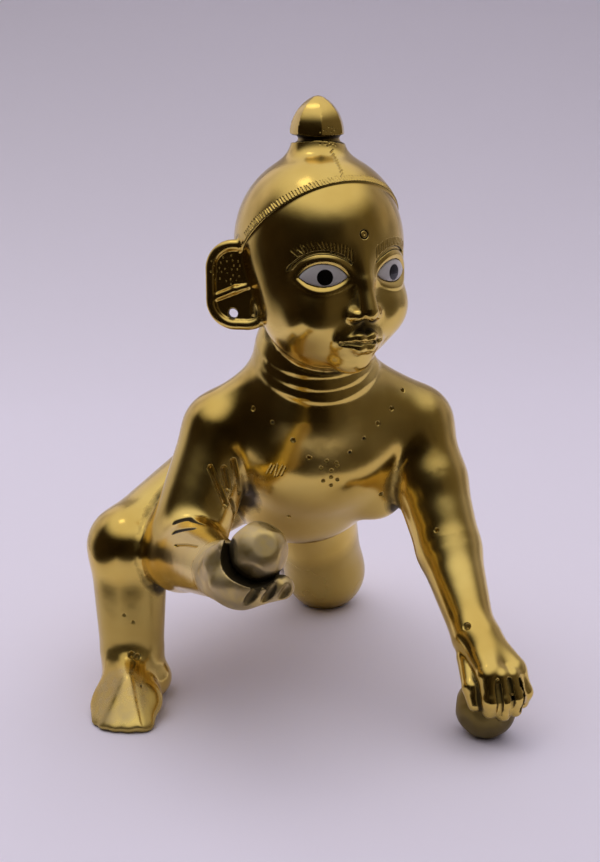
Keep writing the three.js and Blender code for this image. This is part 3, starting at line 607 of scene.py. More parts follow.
def hairline():
    """Where the step of the hair crosses the skull, from one ear over the forehead to the other."""
    foremost, hindmost, count, beyond = -9.7, 0.4, 10, 0.35
    (_, my, mz), (rx, ry, rz) = SKULL_MIDDLE, (radius + HAIR_STEP for radius in SKULL_RADII)
    half = []
    for n in range(count):
        y = foremost + (hindmost - foremost) * (1 - math.cos(n / (count - 1) * math.pi / 2))
        z = HAIR_HEIGHT - HAIR_SLOPE * (y - HAIR_FRONT) + beyond
        x = rx * math.sqrt(max(0, 1 - ((y - my) / ry) ** 2 - ((z - mz) / rz) ** 2))
        half.append((x, y, z))
    other_half = [(-x, y, z) for x, y, z in reversed(half)]
    return [HEAD @ Vector(place) for place in other_half + half[1:]]


def brow(side):
    """A row over an eye, from its outer end to the nose."""
    half_length, height, rise, shift, count = 5.4, 3.9, 1.3, 0.4, 7
    across = (half_length * (1 - 2 * n / (count - 1)) for n in range(count))
    arc = [(side * (u + shift), -2, height + rise * (1 - (u / half_length) ** 2)) for u in across]
    return [HEAD @ eye_frame(side) @ Vector(place) for place in arc]


# Rows of strokes: the path, then spacing, length, width and depth in units, and the lean in degrees
STROKES = {
    "hairline": (hairline(), 0.55, 1.9, 0.28, 0.18, 10),
    "parting": ([(2.2, -15.4, 100.9), (2.4, -17.4, 99.5), (2.6, -19.7, 98.4), (2.7, -21, 97.4)],
                0.75, 0.8, 0.3, 0.2, 50),
    "right_brow": (brow(-1), 0.58, 1.8, 0.25, 0.14, 24),
    "left_brow": (brow(1), 0.58, 1.8, 0.25, 0.14, -24),
    "chest_hatching": ([(-8.3, -12.2, 44.6), (-7, -12.9, 44.5), (-5.9, -13.4, 44.4)],
                       0.6, 2.2, 0.32, 0.2, -20),
}

# Gouges: their paths, then the width and depth in units
GOUGES = {
    "armpit": ([
        [(-18.7, -10.6, 45), (-17.5, -11.4, 41.6), (-16.2, -11.5, 38.2)],
        [(-14.5, -10, 45.8), (-13.8, -9.8, 42.7), (-13.2, -9.1, 39.6)],
        [(-15.1, -10.8, 38.6), (-14.4, -9.4, 36)],
        [(-16.2, -11, 44.8), (-15.5, -11, 41)],
    ], 1.5, 0.9),
    "elbow": ([[(-26.8, -22.4, 34.9), (-25.4, -26.5, 36.4), (-24.1, -30.6, 37.4)]], 0.75, 0.5),
    "elbow_creases": ([
        [(-25.6, -13.8, 35.9), (-23.1, -14.4, 36.9), (-21.4, -17.6, 36.9)],
        [(-26.3, -17.6, 35.6), (-23.4, -20.9, 37.1)],
    ], 1.7, 0.3),
}

# Punched dots and casting pits: the places, then the width and depth in units
DOTS = {
    "garland": ([
        (-10.8, -10.3, 55.5), (-4.4, -14.6, 50.4), (-1.6, -15.1, 47.1),
        (11.4, -13.8, 52.4), (14.3, -12.4, 54.7), (17.1, -9.9, 57.4),
    ], 1.1, 0.6),
    "faint_garland": ([(-7.8, -12.8, 53.4), (5.9, -15.3, 47.7), (8.6, -14.8, 50)], 1, 0.28),
    "pendant": ([
        (0.6, -15.2, 45.1), (1.6, -15.4, 46.4), (3.4, -15.4, 45.9), (2.5, -15.2, 44.5), (3.6, -15.3, 45.3),
        (1.1, -14.9, 42.6), (2.6, -14.7, 41.6), (3.7, -14.9, 42.7), (2.5, -15.1, 43.3),
    ], 0.85, 0.42),
    "pits": ([(-3.7, -7.4, 33.7), (13.1, -10.7, 38), (21, -20, 33.5)], 1.1, 0.6),
    "large_pits": ([(-14.3, -9, 34.6), (23.1, -32.4, 19.6), (-34, -10, 9.5), (-33.2, -10, 8.8)], 1.7, 0.75),
    "small_pits": ([
        (-35, -9.2, 17.4), (-33.4, -9.5, 16), (-35.3, -14.2, 5.2), (-33.4, -15.6, 5.4), (-17.5, -47.5, 35.5),
    ], 0.8, 0.3),
}

# The mark of a hollow punch between the brows: its middle, radius, line width and depth
RING_MARK = HEAD @ Vector((0, -14.2, 6.6)), 0.72, 0.36, 0.2

# Patches that are stippled all over: middle, reach, and the spacing, width and depth of the dots, in units
STIPPLED = {
    "right_ear": (HEAD @ ear_frame(-1) @ Vector((-2.6, -0.3, 3.3)), 2.9, 0.75, 0.42, 0.2),
    "left_ear": (HEAD @ ear_frame(1) @ Vector((2.6, -0.3, 3.3)), 2.9, 0.75, 0.42, 0.2),
    "topknot_band": ((1.7, -14.5, 103.1), 1.9, 0.55, 0.4, 0.2),
}


def on_skin(places):
    return settled(CASTING, np.array(places, dtype=float), rounds=4)


def mark_sites():
    """Every mark as a row of x, y, z and reach, in drawn units."""
    sites, gouge_spacing = [], 0.6
    lines = [(path, spacing, length / 2) for path, spacing, length, *_ in STROKES.values()]
    lines += [(path, gouge_spacing, width / 2) for paths, width, _ in GOUGES.values() for path in paths]
    for path, spacing, reach in lines:
        path = on_skin(path)
        for start, end in zip(path, path[1:]):
            count = max(2, round(np.linalg.norm(end - start) / spacing))
            sites += [(*place, reach) for place in np.linspace(start, end, count)]
    for places, width, _ in DOTS.values():
        sites += [(*place, width / 2) for place in on_skin(places)]
    middle, radius, width, _ = RING_MARK
    sites.append((*on_skin([middle])[0], radius + width / 2))
    sites += [(*middle, reach) for middle, reach, *_ in STIPPLED.values()]
    return np.array(sites)


# The mesh of the casting: coarse on the plain body, fine on the carving, finest along the marks

PLAIN_EDGE = 1.4
MARKED_EDGE = 0.17
GROWTH = 0.35  # how fast the edges grow longer away from what is fine

# Finer carving: its middle, its reach, and how long an edge may be there
CARVED = [
    ((1.4, -11, 85), 19, 0.8),
    (HEAD @ Vector((0, -13.5, -5)), 8.5, 0.42),
    (HEAD @ Vector((6.5, -12, -0.5)), 4, 0.33),
    (HEAD @ Vector((-6.5, -12, -0.5)), 4, 0.33),
    (HEAD @ ear_frame(1) @ Vector((1.5, 0, 0.4)), 7.5, 0.5),
    (HEAD @ ear_frame(-1) @ Vector((-1.5, 0, 0.4)), 7.5, 0.5),
    (HEAD @ Vector((0.1, 2.3, 24)), 5.5, 0.45),
    ((-17.5, -41.5, 36.5), 8.5, 0.45),
    ((27, -37.5, 8), 9, 0.48),
    ((-35.5, -18, 3), 7, 0.6),
    ((2.5, -16, 59), 9, 0.6),
]


def longest_edge(places, marks):
    """How long an edge may be at each place."""
    size = np.full(len(places), PLAIN_EDGE)
    for middle, reach, edge in CARVED:
        away = np.linalg.norm(places - np.array(middle), axis=1) - reach
        size = np.minimum(size, edge + GROWTH * np.maximum(away, 0))
    portion, margin = 3000, 0.3
    away = np.concatenate([
        (np.linalg.norm(rows[:, None] - marks[:, :3], axis=2) - marks[:, 3]).min(axis=1)
        for rows in np.array_split(places, max(1, len(places) // portion))
    ])
    return np.minimum(size, MARKED_EDGE + GROWTH * np.maximum(away - margin, 0))


def casting_mesh():
    """The casting as places and faces, in drawn units."""
    step, most_rounds = 1.0, 8
    low, high = np.array([-48.0, -52.0, -3.0]), np.array([40.0, 76.0, DRAWN_HEIGHT + 4.0])
    places, quads = skinned(sampled(CASTING, low, high, step), low, step)
    places = settled(CASTING, places)
    faces = halved(places, quads)
    marks = mark_sites()
    for _ in range(most_rounds):
        finer = split(places, faces, lambda middles: longest_edge(middles, marks))
        if finer is None:
            break
        places, faces = finer
        places = settled(CASTING, evened(places, faces), rounds=1)
    return settled(CASTING, places), faces


def hollowness(places, normals):
    """From 0 on open skin to 1 deep in a fold: how far the skin closes in over each place."""
    reaches, strength = (0.7, 1.6, 3.5, 7), 1.6
    closed = [1 - distances(CASTING, places + normals * reach) / reach for reach in reaches]
    return np.clip(np.mean(closed, axis=0) * strength, 0, 1)


# Parts that are less polished than the rest: their middle, reach and how much they are so
DULL = [
    ((-18.3, -41.5, 35.5), 9, 1),
    ((-13.5, -9, 41), 5, 0.5),
    ((-37, -16, 4), 5, 0.6),
]
# Painted shade on the ball under the leaning hand and under the raised hand, and darker legs: middle, reach
# and amount
SHADED_AND_DARKER_SPOTS = [
    ((26.2, -34.8, 4), 5.2, 0.8),
    ((-20, -44, 31), 2.5, 0.35),
    ((-33.3, -4, 15), 8.5, 0.2),
    ((12, 31, 10), 11, 0.25),
]


# The stippled hollows of the ears, which are rubbed as bright as open skin
RUBBED = [(HEAD @ ear_frame(side) @ Vector((2.6 * side, 0, 3.3)), 3.2, 0.9) for side in (-1, 1)]


def patches(places, spots):
    """From 0 off the spots to the amount of each spot within its reach."""
    edge = 2.5
    amounts = np.zeros(len(places))
    for middle, reach, amount in spots:
        away = np.linalg.norm(places - np.array(middle), axis=1)
        amounts = np.maximum(amounts, amount * np.clip((reach + edge - away) / edge, 0, 1))
    return amounts


def darker_along_ground(places):
    """Darker along the ground, most at it and fading out 1.6 units above it."""
    reach, amount = 1.6, 0.7
    return amount * np.clip(1 - places[:, 2] / reach, 0, 1)


# Objects

def new_object(name, data):
    piece = bpy.data.objects.new(name, data)
    bpy.context.scene.collection.objects.link(piece)
    return piece


def mesh_object(name, places, faces):
    """A smooth mesh from places and faces. A mesh without faces is a set of loose points."""
    mesh = bpy.data.meshes.new(name)
    mesh.from_pydata(np.asarray(places).tolist(), [], np.asarray(faces).tolist() if len(faces) else [])
    mesh.polygons.foreach_set("use_smooth", [True] * len(mesh.polygons))
    mesh.update()
    return new_object(name, mesh)


def paths_object(name, paths):
    curve = bpy.data.curves.new(name, "CURVE")
    curve.dimensions = "3D"
    for places in paths:
        spline = curve.splines.new("POLY")
        spline.points.add(len(places) - 1)
        spline.points.foreach_set("co", np.column_stack([places, np.ones(len(places))]).ravel())
    return new_object(name, curve)


def note(mesh, name, values):
    """Keeps a number for every place of a mesh, for its material."""
    attribute = mesh.attributes.new(name, "FLOAT", "POINT")
    attribute.data.foreach_set("value", np.asarray(values, dtype=np.float32))


# Node trees

def add(tree, kind, inputs=None, **settings):
    """Adds a node with its settings and its inputs, each of which is a value or another node's output."""
    node = tree.nodes.new(kind)
    for name, value in settings.items():
        setattr(node, name, value)
    for key, value in (inputs or {}).items():
        enabled = [socket for socket in node.inputs if socket.enabled]
        named = [socket for socket in enabled if key in (socket.name, socket.identifier)]
        socket = named[0] if named else node.inputs[key]
        if isinstance(value, bpy.types.Node):
            value = next(output for output in value.outputs if output.enabled)
        if isinstance(value, bpy.types.NodeSocket):
            tree.links.new(value, socket)
        else:
            socket.default_value = value
    return node


def modifier_tree(name, sizes):
    """An empty tree for a modifier, with named inputs, and its input node."""
    tree = bpy.data.node_groups.new(name, "GeometryNodeTree")
    tree.interface.new_socket("Geometry", in_out="OUTPUT", socket_type="NodeSocketGeometry")
    for label, kind in {"Geometry": "Geometry", **sizes, "Material": "Material"}.items():
        tree.interface.new_socket(label, in_out="INPUT", socket_type=f"NodeSocket{kind}")
    return tree, add(tree, "NodeGroupInput")


# The depth of a tool's mark runs from 0 to 1, and is kept under this name for the brass
PRESSED = "pressed"
PRESS_SIZES = {"Width": "Float", "Depth": "Float", "Burr": "Float"}
STROKE_BURR = 0.02 * MM
STROKE_UNEVENNESS = 0.16  # in radians for the lean of a stroke, and as a share for its length


def press_in(tree, given, distance):
    """Presses a groove into the skin where the distance is under half the width, with a burr along it."""
    crest_away, crest_reach = 0.68, 0.3  # where the top of the burr is and how far it reaches, in widths
    width = given.outputs["Width"]
    half = add(tree, "ShaderNodeMath", {0: width, 1: 0.5}, operation="MULTIPLY")
    groove = add(tree, "ShaderNodeMapRange", {
        "Value": distance, "From Min": 0.0, "From Max": half, "To Min": 1.0, "To Max": 0.0,
    }, interpolation_type="SMOOTHSTEP")
    crest = add(tree, "ShaderNodeMath", {0: width, 1: crest_away}, operation="MULTIPLY")
    off_crest = add(tree, "ShaderNodeMath", {0: distance, 1: crest}, operation="SUBTRACT")
    beside = add(tree, "ShaderNodeMath", {0: off_crest}, operation="ABSOLUTE")
    flank = add(tree, "ShaderNodeMath", {0: width, 1: crest_reach}, operation="MULTIPLY")
    ridge = add(tree, "ShaderNodeMapRange", {
        "Value": beside, "From Min": 0.0, "From Max": flank, "To Min": given.outputs["Burr"], "To Max": 0.0,
    }, interpolation_type="SMOOTHSTEP")
    sunk = add(tree, "ShaderNodeMath", {0: groove, 1: given.outputs["Depth"]}, operation="MULTIPLY")
    rise = add(tree, "ShaderNodeMath", {0: ridge, 1: sunk}, operation="SUBTRACT")
    outward = add(tree, "GeometryNodeInputNormal")
    offset = add(tree, "ShaderNodeVectorMath", {0: outward, "Scale": rise}, operation="SCALE")
    moved = add(tree, "GeometryNodeSetPosition", {"Geometry": given.outputs["Geometry"], "Offset": offset})
    before = add(tree, "GeometryNodeInputNamedAttribute", {"Name": PRESSED}, data_type="FLOAT")
    deepest = add(tree, "ShaderNodeMath", {0: before, 1: groove}, operation="MAXIMUM")
    noted = add(tree, "GeometryNodeStoreNamedAttribute", {
        "Geometry": moved, "Name": PRESSED, "Value": deepest,
    }, data_type="FLOAT", domain="POINT")
    whole = add(tree, "GeometryNodeRealizeInstances", {"Geometry": noted})
    finished = add(tree, "GeometryNodeSetMaterial", {
        "Geometry": whole, "Material": given.outputs["Material"],
    })
    add(tree, "NodeGroupOutput", {"Geometry": finished})
    return tree


def engraved_row_tree():
    """Strokes of a graver in a row along a path, laid on the skin that they are pressed into."""
    tree, given = modifier_tree("Engraved row", {
        "Path": "Object", "Spacing": "Float", "Length": "Float", "Lean": "Float", "Unevenness": "Float",
        **PRESS_SIZES, "Seed": "Int",
    })
    skin, uneven, seed = given.outputs["Geometry"], given.outputs["Unevenness"], given.outputs["Seed"]
    path = add(tree, "GeometryNodeObjectInfo", {"Object": given.outputs["Path"]}, transform_space="RELATIVE")
    row = add(tree, "GeometryNodeResampleCurve", {
        "Curve": path.outputs["Geometry"], "Length": given.outputs["Spacing"],
    }, mode="LENGTH")
    skin_place = add(tree, "GeometryNodeSampleNearestSurface", {
        "Mesh": skin, "Value": add(tree, "GeometryNodeInputPosition"),
    }, data_type="FLOAT_VECTOR")
    laid = add(tree, "GeometryNodeSetPosition", {"Geometry": row, "Position": skin_place})
    outward = add(tree, "GeometryNodeSampleNearestSurface", {
        "Mesh": skin, "Value": add(tree, "GeometryNodeInputNormal"),
    }, data_type="FLOAT_VECTOR")
    across = add(tree, "ShaderNodeVectorMath", {
        0: outward, 1: add(tree, "GeometryNodeInputTangent"),
    }, operation="CROSS_PRODUCT")
    least_turn = add(tree, "ShaderNodeMath", {0: uneven, 1: -1.0}, operation="MULTIPLY")
    turn = add(tree, "FunctionNodeRandomValue", {
        "Min": least_turn, "Max": uneven, "Seed": seed,
    }, data_type="FLOAT")
    angle = add(tree, "ShaderNodeMath", {0: given.outputs["Lean"], 1: turn}, operation="ADD")
    direction = add(tree, "ShaderNodeVectorRotate", {
        "Vector": across, "Axis": outward, "Angle": angle,
    }, rotation_type="AXIS_ANGLE")
    rotation = add(tree, "FunctionNodeAlignRotationToVector", {"Vector": direction}, axis="X")
    next_seed = add(tree, "ShaderNodeMath", {0: seed, 1: 1.0}, operation="ADD")
    shortest = add(tree, "ShaderNodeMath", {0: 1.0, 1: uneven}, operation="SUBTRACT")
    longest = add(tree, "ShaderNodeMath", {0: 1.0, 1: uneven}, operation="ADD")
    share = add(tree, "FunctionNodeRandomValue", {
        "Min": shortest, "Max": longest, "Seed": next_seed,
    }, data_type="FLOAT")
    length = add(tree, "ShaderNodeMath", {0: given.outputs["Length"], 1: share}, operation="MULTIPLY")
    size = add(tree, "ShaderNodeCombineXYZ", {"X": length, "Y": 1.0, "Z": 1.0})
    stroke = add(tree, "GeometryNodeCurvePrimitiveLine", {"Start": (-0.5, 0, 0), "End": (0.5, 0, 0)})
    strokes = add(tree, "GeometryNodeInstanceOnPoints", {
        "Points": laid, "Instance": stroke, "Rotation": rotation, "Scale": size,
    })
    lines = add(tree, "GeometryNodeCurveToMesh", {
        "Curve": add(tree, "GeometryNodeRealizeInstances", {"Geometry": strokes}),
    })
    near = add(tree, "GeometryNodeProximity", {0: lines}, target_element="EDGES")
    return press_in(tree, given, near.outputs["Distance"])


def gouged_lines_tree():
    """A groove along every path of another object."""
    tree, given = modifier_tree("Gouged lines", {"Paths": "Object", **PRESS_SIZES})
    paths = add(tree, "GeometryNodeObjectInfo", {
        "Object": given.outputs["Paths"],
    }, transform_space="RELATIVE")
    lines = add(tree, "GeometryNodeCurveToMesh", {"Curve": paths.outputs["Geometry"]})
    near = add(tree, "GeometryNodeProximity", {0: lines}, target_element="EDGES")
    return press_in(tree, given, near.outputs["Distance"])


def punched_dots_tree():
    """A dot of a round punch at every point of another object."""
    tree, given = modifier_tree("Punched dots", {"Places": "Object", **PRESS_SIZES})
    places = add(tree, "GeometryNodeObjectInfo", {
        "Object": given.outputs["Places"],
    }, transform_space="RELATIVE")
    near = add(tree, "GeometryNodeProximity", {0: places.outputs["Geometry"]}, target_element="POINTS")
    return press_in(tree, given, near.outputs["Distance"])


def punched_ring_tree():
    """The mark of a hollow punch: a ring with a dot in its middle."""
    tree, given = modifier_tree("Punched ring", {"Middle": "Vector", "Radius": "Float", **PRESS_SIZES})
    away = add(tree, "ShaderNodeVectorMath", {
        0: add(tree, "GeometryNodeInputPosition"), 1: given.outputs["Middle"],
    }, operation="DISTANCE").outputs["Value"]
    beyond = add(tree, "ShaderNodeMath", {0: away, 1: given.outputs["Radius"]}, operation="SUBTRACT")
    off_ring = add(tree, "ShaderNodeMath", {0: beyond}, operation="ABSOLUTE")
    nearest = add(tree, "ShaderNodeMath", {0: off_ring, 1: away}, operation="MINIMUM")
    return press_in(tree, given, nearest)


def stippled_patch_tree():
    """Dots of a fine punch, scattered evenly over a round patch of the skin."""
    tree, given = modifier_tree("Stippled patch", {
        "Middle": "Vector", "Reach": "Float", "Spacing": "Float", **PRESS_SIZES, "Seed": "Int",
    })
    away = add(tree, "ShaderNodeVectorMath", {
        0: add(tree, "GeometryNodeInputPosition"), 1: given.outputs["Middle"],
    }, operation="DISTANCE").outputs["Value"]
    inside = add(tree, "ShaderNodeMath", {0: away, 1: given.outputs["Reach"]}, operation="LESS_THAN")
    patch = add(tree, "GeometryNodeSeparateGeometry", {
        "Geometry": given.outputs["Geometry"], "Selection": inside,
    }, domain="FACE")
    crowding = 6.0  # tries for each square of the spacing, so that no room is left between the dots
    square = add(tree, "ShaderNodeMath", {0: given.outputs["Spacing"], 1: 2.0}, operation="POWER")
    density = add(tree, "ShaderNodeMath", {0: crowding, 1: square}, operation="DIVIDE")
    dots = add(tree, "GeometryNodeDistributePointsOnFaces", {
        "Mesh": patch.outputs["Selection"], "Distance Min": given.outputs["Spacing"], "Density Max": density,
        "Seed": given.outputs["Seed"],
    }, distribute_method="POISSON")
    near = add(tree, "GeometryNodeProximity", {0: dots.outputs["Points"]}, target_element="POINTS")
    return press_in(tree, given, near.outputs["Distance"])


def press(piece, tree, **sizes):
    """Puts a tree on a piece as a modifier and sets all its named inputs."""
    modifier = piece.modifiers.new(tree.name, "NODES")
    modifier.node_group = tree
    for socket in tree.interface.items_tree:
        if socket.in_out == "INPUT" and socket.name != "Geometry":
            modifier[socket.identifier] = sizes[socket.name.lower()]


# Materials

def linear(code):
    """An sRGB hex colour in linear light, with full opacity."""
    parts = (int(code[n:n + 2], 16) / 255 for n in (1, 3, 5))
    return (*(part / 12.92 if part <= 0.04045 else ((part + 0.055) / 1.055) ** 2.4 for part in parts), 1)


def new_material(name):
    material = bpy.data.materials.new(name)
    material.use_nodes = True
    material.node_tree.nodes.clear()
    return material, material.node_tree


def polished_cast_brass():
    """Cast brass, filed and then rubbed bright by hand.

    A warm mirror that fine scratches blur, wavy from the file, dark with tarnish in the hollows where
    no cloth reaches and greyer where fingers hold it. Painted shade darkens the ball under the leaning
    hand and the underside of the raised hand, and the legs and the rim along the ground are made darker.
    """
    material, tree = new_material("polished_cast_brass")
    place = add(tree, "ShaderNodeTexCoord").outputs["Object"]
    hollow, pressed, dull, shade_and_darkening = (
        add(tree, "ShaderNodeAttribute", attribute_name=name).outputs["Fac"]
        for name in ("hollow", PRESSED, "dull", "shade_and_darkening")
    )

    # Clouds of tone, 12 mm wide, from the hands and the cloth, and blotches 2 mm wide in the patina
    clouds = add(tree, "ShaderNodeTexNoise", {"Vector": place, "Scale": 1 / (12 * MM), "Detail": 3.0})
    blotches = add(tree, "ShaderNodeTexNoise", {"Vector": place, "Scale": 1 / (2 * MM), "Detail": 4.0})
    tone = add(tree, "ShaderNodeValToRGB", {"Fac": clouds})
    for stop, position, code in zip(tone.color_ramp.elements, (0.3, 0.7), ("#D3B35A", "#E6CB73")):
        stop.position, stop.color = position, linear(code)

    worn = add(tree, "ShaderNodeMath", {0: blotches, 1: dull}, operation="MULTIPLY")
    tarnish = add(tree, "ShaderNodeMapRange", {
        "Value": worn, "From Min": 0.15, "From Max": 0.6, "To Max": 0.9,
    })
    tarnished = add(tree, "ShaderNodeMix", {
        "Factor": tarnish, "A": tone, "B": linear("#CDB98A"),
    }, data_type="RGBA")

    jitter = add(tree, "ShaderNodeMapRange", {"Value": blotches, "To Min": -0.22, "To Max": 0.22})
    ragged = add(tree, "ShaderNodeMath", {0: hollow, 1: jitter}, operation="ADD")
    deep = add(tree, "ShaderNodeMapRange", {
        "Value": ragged, "From Min": 0.42, "From Max": 0.85, "To Max": 0.9,
    })
    dirty = add(tree, "ShaderNodeMapRange", {
        "Value": pressed, "From Min": 0.05, "From Max": 0.4, "To Max": 0.97,
    })
    # Painted shade under the hands, with the darker legs and ground rim, joins the tarnish of the hollows
    # here
    hollows_and_shade = add(tree, "ShaderNodeMath", {0: deep, 1: shade_and_darkening}, operation="MAXIMUM")
    patina_dirt_and_shade = add(tree, "ShaderNodeMath", {0: hollows_and_shade, 1: dirty}, operation="MAXIMUM")
    # One dark colour for tarnish in the hollows, dirt in the marks and the painted shade under the hands
    colour = add(tree, "ShaderNodeMix", {
        "Factor": patina_dirt_and_shade, "A": tarnished, "B": linear("#150E07"),
    }, data_type="RGBA")

    gloss = add(tree, "ShaderNodeMapRange", {
        "Value": clouds, "From Min": 0.3, "From Max": 0.7, "To Min": 0.15, "To Max": 0.24,
    })
    rougher = add(tree, "ShaderNodeMath", {0: tarnish, 1: 0.3, 2: gloss}, operation="MULTIPLY_ADD")
    roughness = add(tree, "ShaderNodeMath", {0: patina_dirt_and_shade, 1: 0.3, 2: rougher}, operation="MULTIPLY_ADD")
    unoxidised = add(tree, "ShaderNodeMath", {0: tarnish, 1: -0.35, 2: 1.0}, operation="MULTIPLY_ADD")
    bare = add(tree, "ShaderNodeMath", {
        0: patina_dirt_and_shade, 1: -0.7, 2: unoxidised,
    }, operation="MULTIPLY_ADD", use_clamp=True)

    # Waves of the file, 4.5 mm long, and rubbing scratches 0.25 mm apart, drawn coarser than the real ones
    # so that they show
    waves = add(tree, "ShaderNodeTexNoise", {"Vector": place, "Scale": 1 / (4.5 * MM), "Detail": 1.5})
    wavy = add(tree, "ShaderNodeBump", {"Height": waves, "Strength": 0.4, "Distance": 0.16 * MM})
    drawn_out = add(tree, "ShaderNodeMapping", {
        "Vector": place, "Rotation": (0.5, 0.9, 0.3), "Scale": (1, 0.06, 1),
    })
    scratches = add(tree, "ShaderNodeTexNoise", {"Vector": drawn_out, "Scale": 1 / (0.5 * MM), "Detail": 2.0})
    scratched = add(tree, "ShaderNodeBump", {
        "Height": scratches, "Strength": 0.12, "Distance": 0.02 * MM, "Normal": wavy,
    })
    shader = add(tree, "ShaderNodeBsdfPrincipled", {
        "Base Color": colour, "Metallic": bare, "Roughness": roughness, "Specular IOR Level": 0.2,
        "Normal": scratched,
    })
    add(tree, "ShaderNodeOutputMaterial", {"Surface": shader})
    return material


def fired_enamel():
    """White vitreous enamel with a black pupil, fired to a gloss: bright, with a sharp highlight."""
    material, tree = new_material("fired_enamel")
    flat = add(tree, "ShaderNodeUVMap", uv_map="eye")
    place = add(tree, "ShaderNodeTexCoord").outputs["Object"]
    away = add(tree, "ShaderNodeVectorMath", {0: flat, 1: PUPIL_PLACE}, operation="DISTANCE").outputs["Value"]
    size, soft_edge = PUPIL_RADIUS / EYE_LENGTH, 0.05 / EYE_LENGTH
    black = add(tree, "ShaderNodeMapRange", {
        "Value": away, "From Min": size - soft_edge, "From Max": size + soft_edge,
        "To Min": 1.0, "To Max": 0.0,
    })
    clouds = add(tree, "ShaderNodeTexNoise", {"Vector": place, "Scale": 1 / (1.5 * MM), "Detail": 3.0})
    white = add(tree, "ShaderNodeMix", {
        "Factor": clouds, "A": linear("#F6F3F0"), "B": linear("#E9E6E6"),
    }, data_type="RGBA")
    colour = add(tree, "ShaderNodeMix", {
        "Factor": black, "A": white, "B": linear("#0B0A0C"),
    }, data_type="RGBA")
    ripple = add(tree, "ShaderNodeBump", {"Height": clouds, "Strength": 0.1, "Distance": 0.02 * MM})
    shader = add(tree, "ShaderNodeBsdfPrincipled", {
        "Base Color": colour, "Roughness": 0.12, "IOR": 1.52, "Normal": ripple,
    })
    add(tree, "ShaderNodeOutputMaterial", {"Surface": shader})
    return material


def pale_board():
    """Matt painted board."""
    material, tree = new_material("pale_board")
    shader = add(tree, "ShaderNodeBsdfPrincipled", {"Base Color": linear("#EDE9F8"), "Roughness": 0.75})
    add(tree, "ShaderNodeOutputMaterial", {"Surface": shader})
    return material


# The casting, with the marks of the tools pressed in

def pressed_casting(brass):
    places, faces = casting_mesh()
    outward = slopes(CASTING, places)
    outward /= np.linalg.norm(outward, axis=1, keepdims=True)
    low, high = places.min(axis=0), places.max(axis=0)
    shift = (FIGURE_LOW + FIGURE_HIGH) / 2 - (low + high) / 2 * UNIT
    shift[2] = FIGURE_LOW[2]

    def in_frame(drawn):
        return np.asarray(drawn, dtype=float) * UNIT + shift

    piece = mesh_object("brass_casting", in_frame(places), faces)
    note(piece.data, "hollow", hollowness(places, outward) * (1 - patches(places, RUBBED)))
    note(piece.data, "dull", patches(places, DULL))
    # Painted shade on the ball under the leaning hand and under the raised hand, and darker legs and ground
    # rim
    note(piece.data, "shade_and_darkening", np.maximum(patches(places, SHADED_AND_DARKER_SPOTS), darker_along_ground(places)))
    note(piece.data, PRESSED, np.zeros(len(places)))

    guides = []
    rows, lines, dots = engraved_row_tree(), gouged_lines_tree(), punched_dots_tree()
    ring, patch = punched_ring_tree(), stippled_patch_tree()
    for seed, (name, (path, spacing, length, width, depth, lean)) in enumerate(STROKES.items()):
        guides.append(paths_object(name, [in_frame(on_skin(path))]))
        press(piece, rows, path=guides[-1], spacing=spacing * UNIT, length=length * UNIT,
              lean=math.radians(lean), unevenness=STROKE_UNEVENNESS, width=width * UNIT, depth=depth * UNIT,
              burr=STROKE_BURR, seed=seed * 2, material=brass)
    for name, (paths, width, depth) in GOUGES.items():
        guides.append(paths_object(name, [in_frame(on_skin(path)) for path in paths]))
        press(piece, lines, paths=guides[-1], width=width * UNIT, depth=depth * UNIT, burr=0.0,
              material=brass)
    for name, (middles, width, depth) in DOTS.items():
        guides.append(mesh_object(name, in_frame(on_skin(middles)), []))
        press(piece, dots, places=guides[-1], width=width * UNIT, depth=depth * UNIT, burr=0.0,
              material=brass)
    middle, radius, width, depth = RING_MARK
    press(piece, ring, middle=in_frame(on_skin([middle]))[0], radius=radius * UNIT, width=width * UNIT,
          depth=depth * UNIT, burr=STROKE_BURR, material=brass)
    for seed, (middle, reach, spacing, width, depth) in enumerate(STIPPLED.values()):
        press(piece, patch, middle=in_frame(middle), reach=reach * UNIT, spacing=spacing * UNIT,
              width=width * UNIT, depth=depth * UNIT, burr=0.0, seed=seed, material=brass)

    view = bpy.context.evaluated_depsgraph_get()
    mesh = bpy.data.meshes.new_from_object(
        piece.evaluated_get(view), preserve_all_data_layers=True, depsgraph=view,
    )
    piece.modifiers.clear()
    piece.data = mesh
    for guide in guides:
        bpy.data.objects.remove(guide)
    keep_true_normals(mesh, in_frame(places), outward)
    return piece, in_frame


def keep_true_normals(mesh, places, outward):
    """Shades the skin by the slope of its form, and by the mesh where a tool has moved it."""
    least_move = 0.004 * MM
    now, shown = np.zeros(len(places) * 3), np.zeros(len(places) * 3)
    mesh.vertices.foreach_get("co", now)
    mesh.vertex_normals.foreach_get("vector", shown)
    moved = np.linalg.norm(now.reshape(-1, 3) - places, axis=1) > least_move
    shading = np.where(moved[:, None], shown.reshape(-1, 3), outward)
    mesh.normals_split_custom_set_from_vertices(shading.tolist())


# The inlaid eyes

PUPIL_PLACE = (0.47, 0.51, 0)  # on the eye's own map, where the nose is at 0 and the outer corner at 1


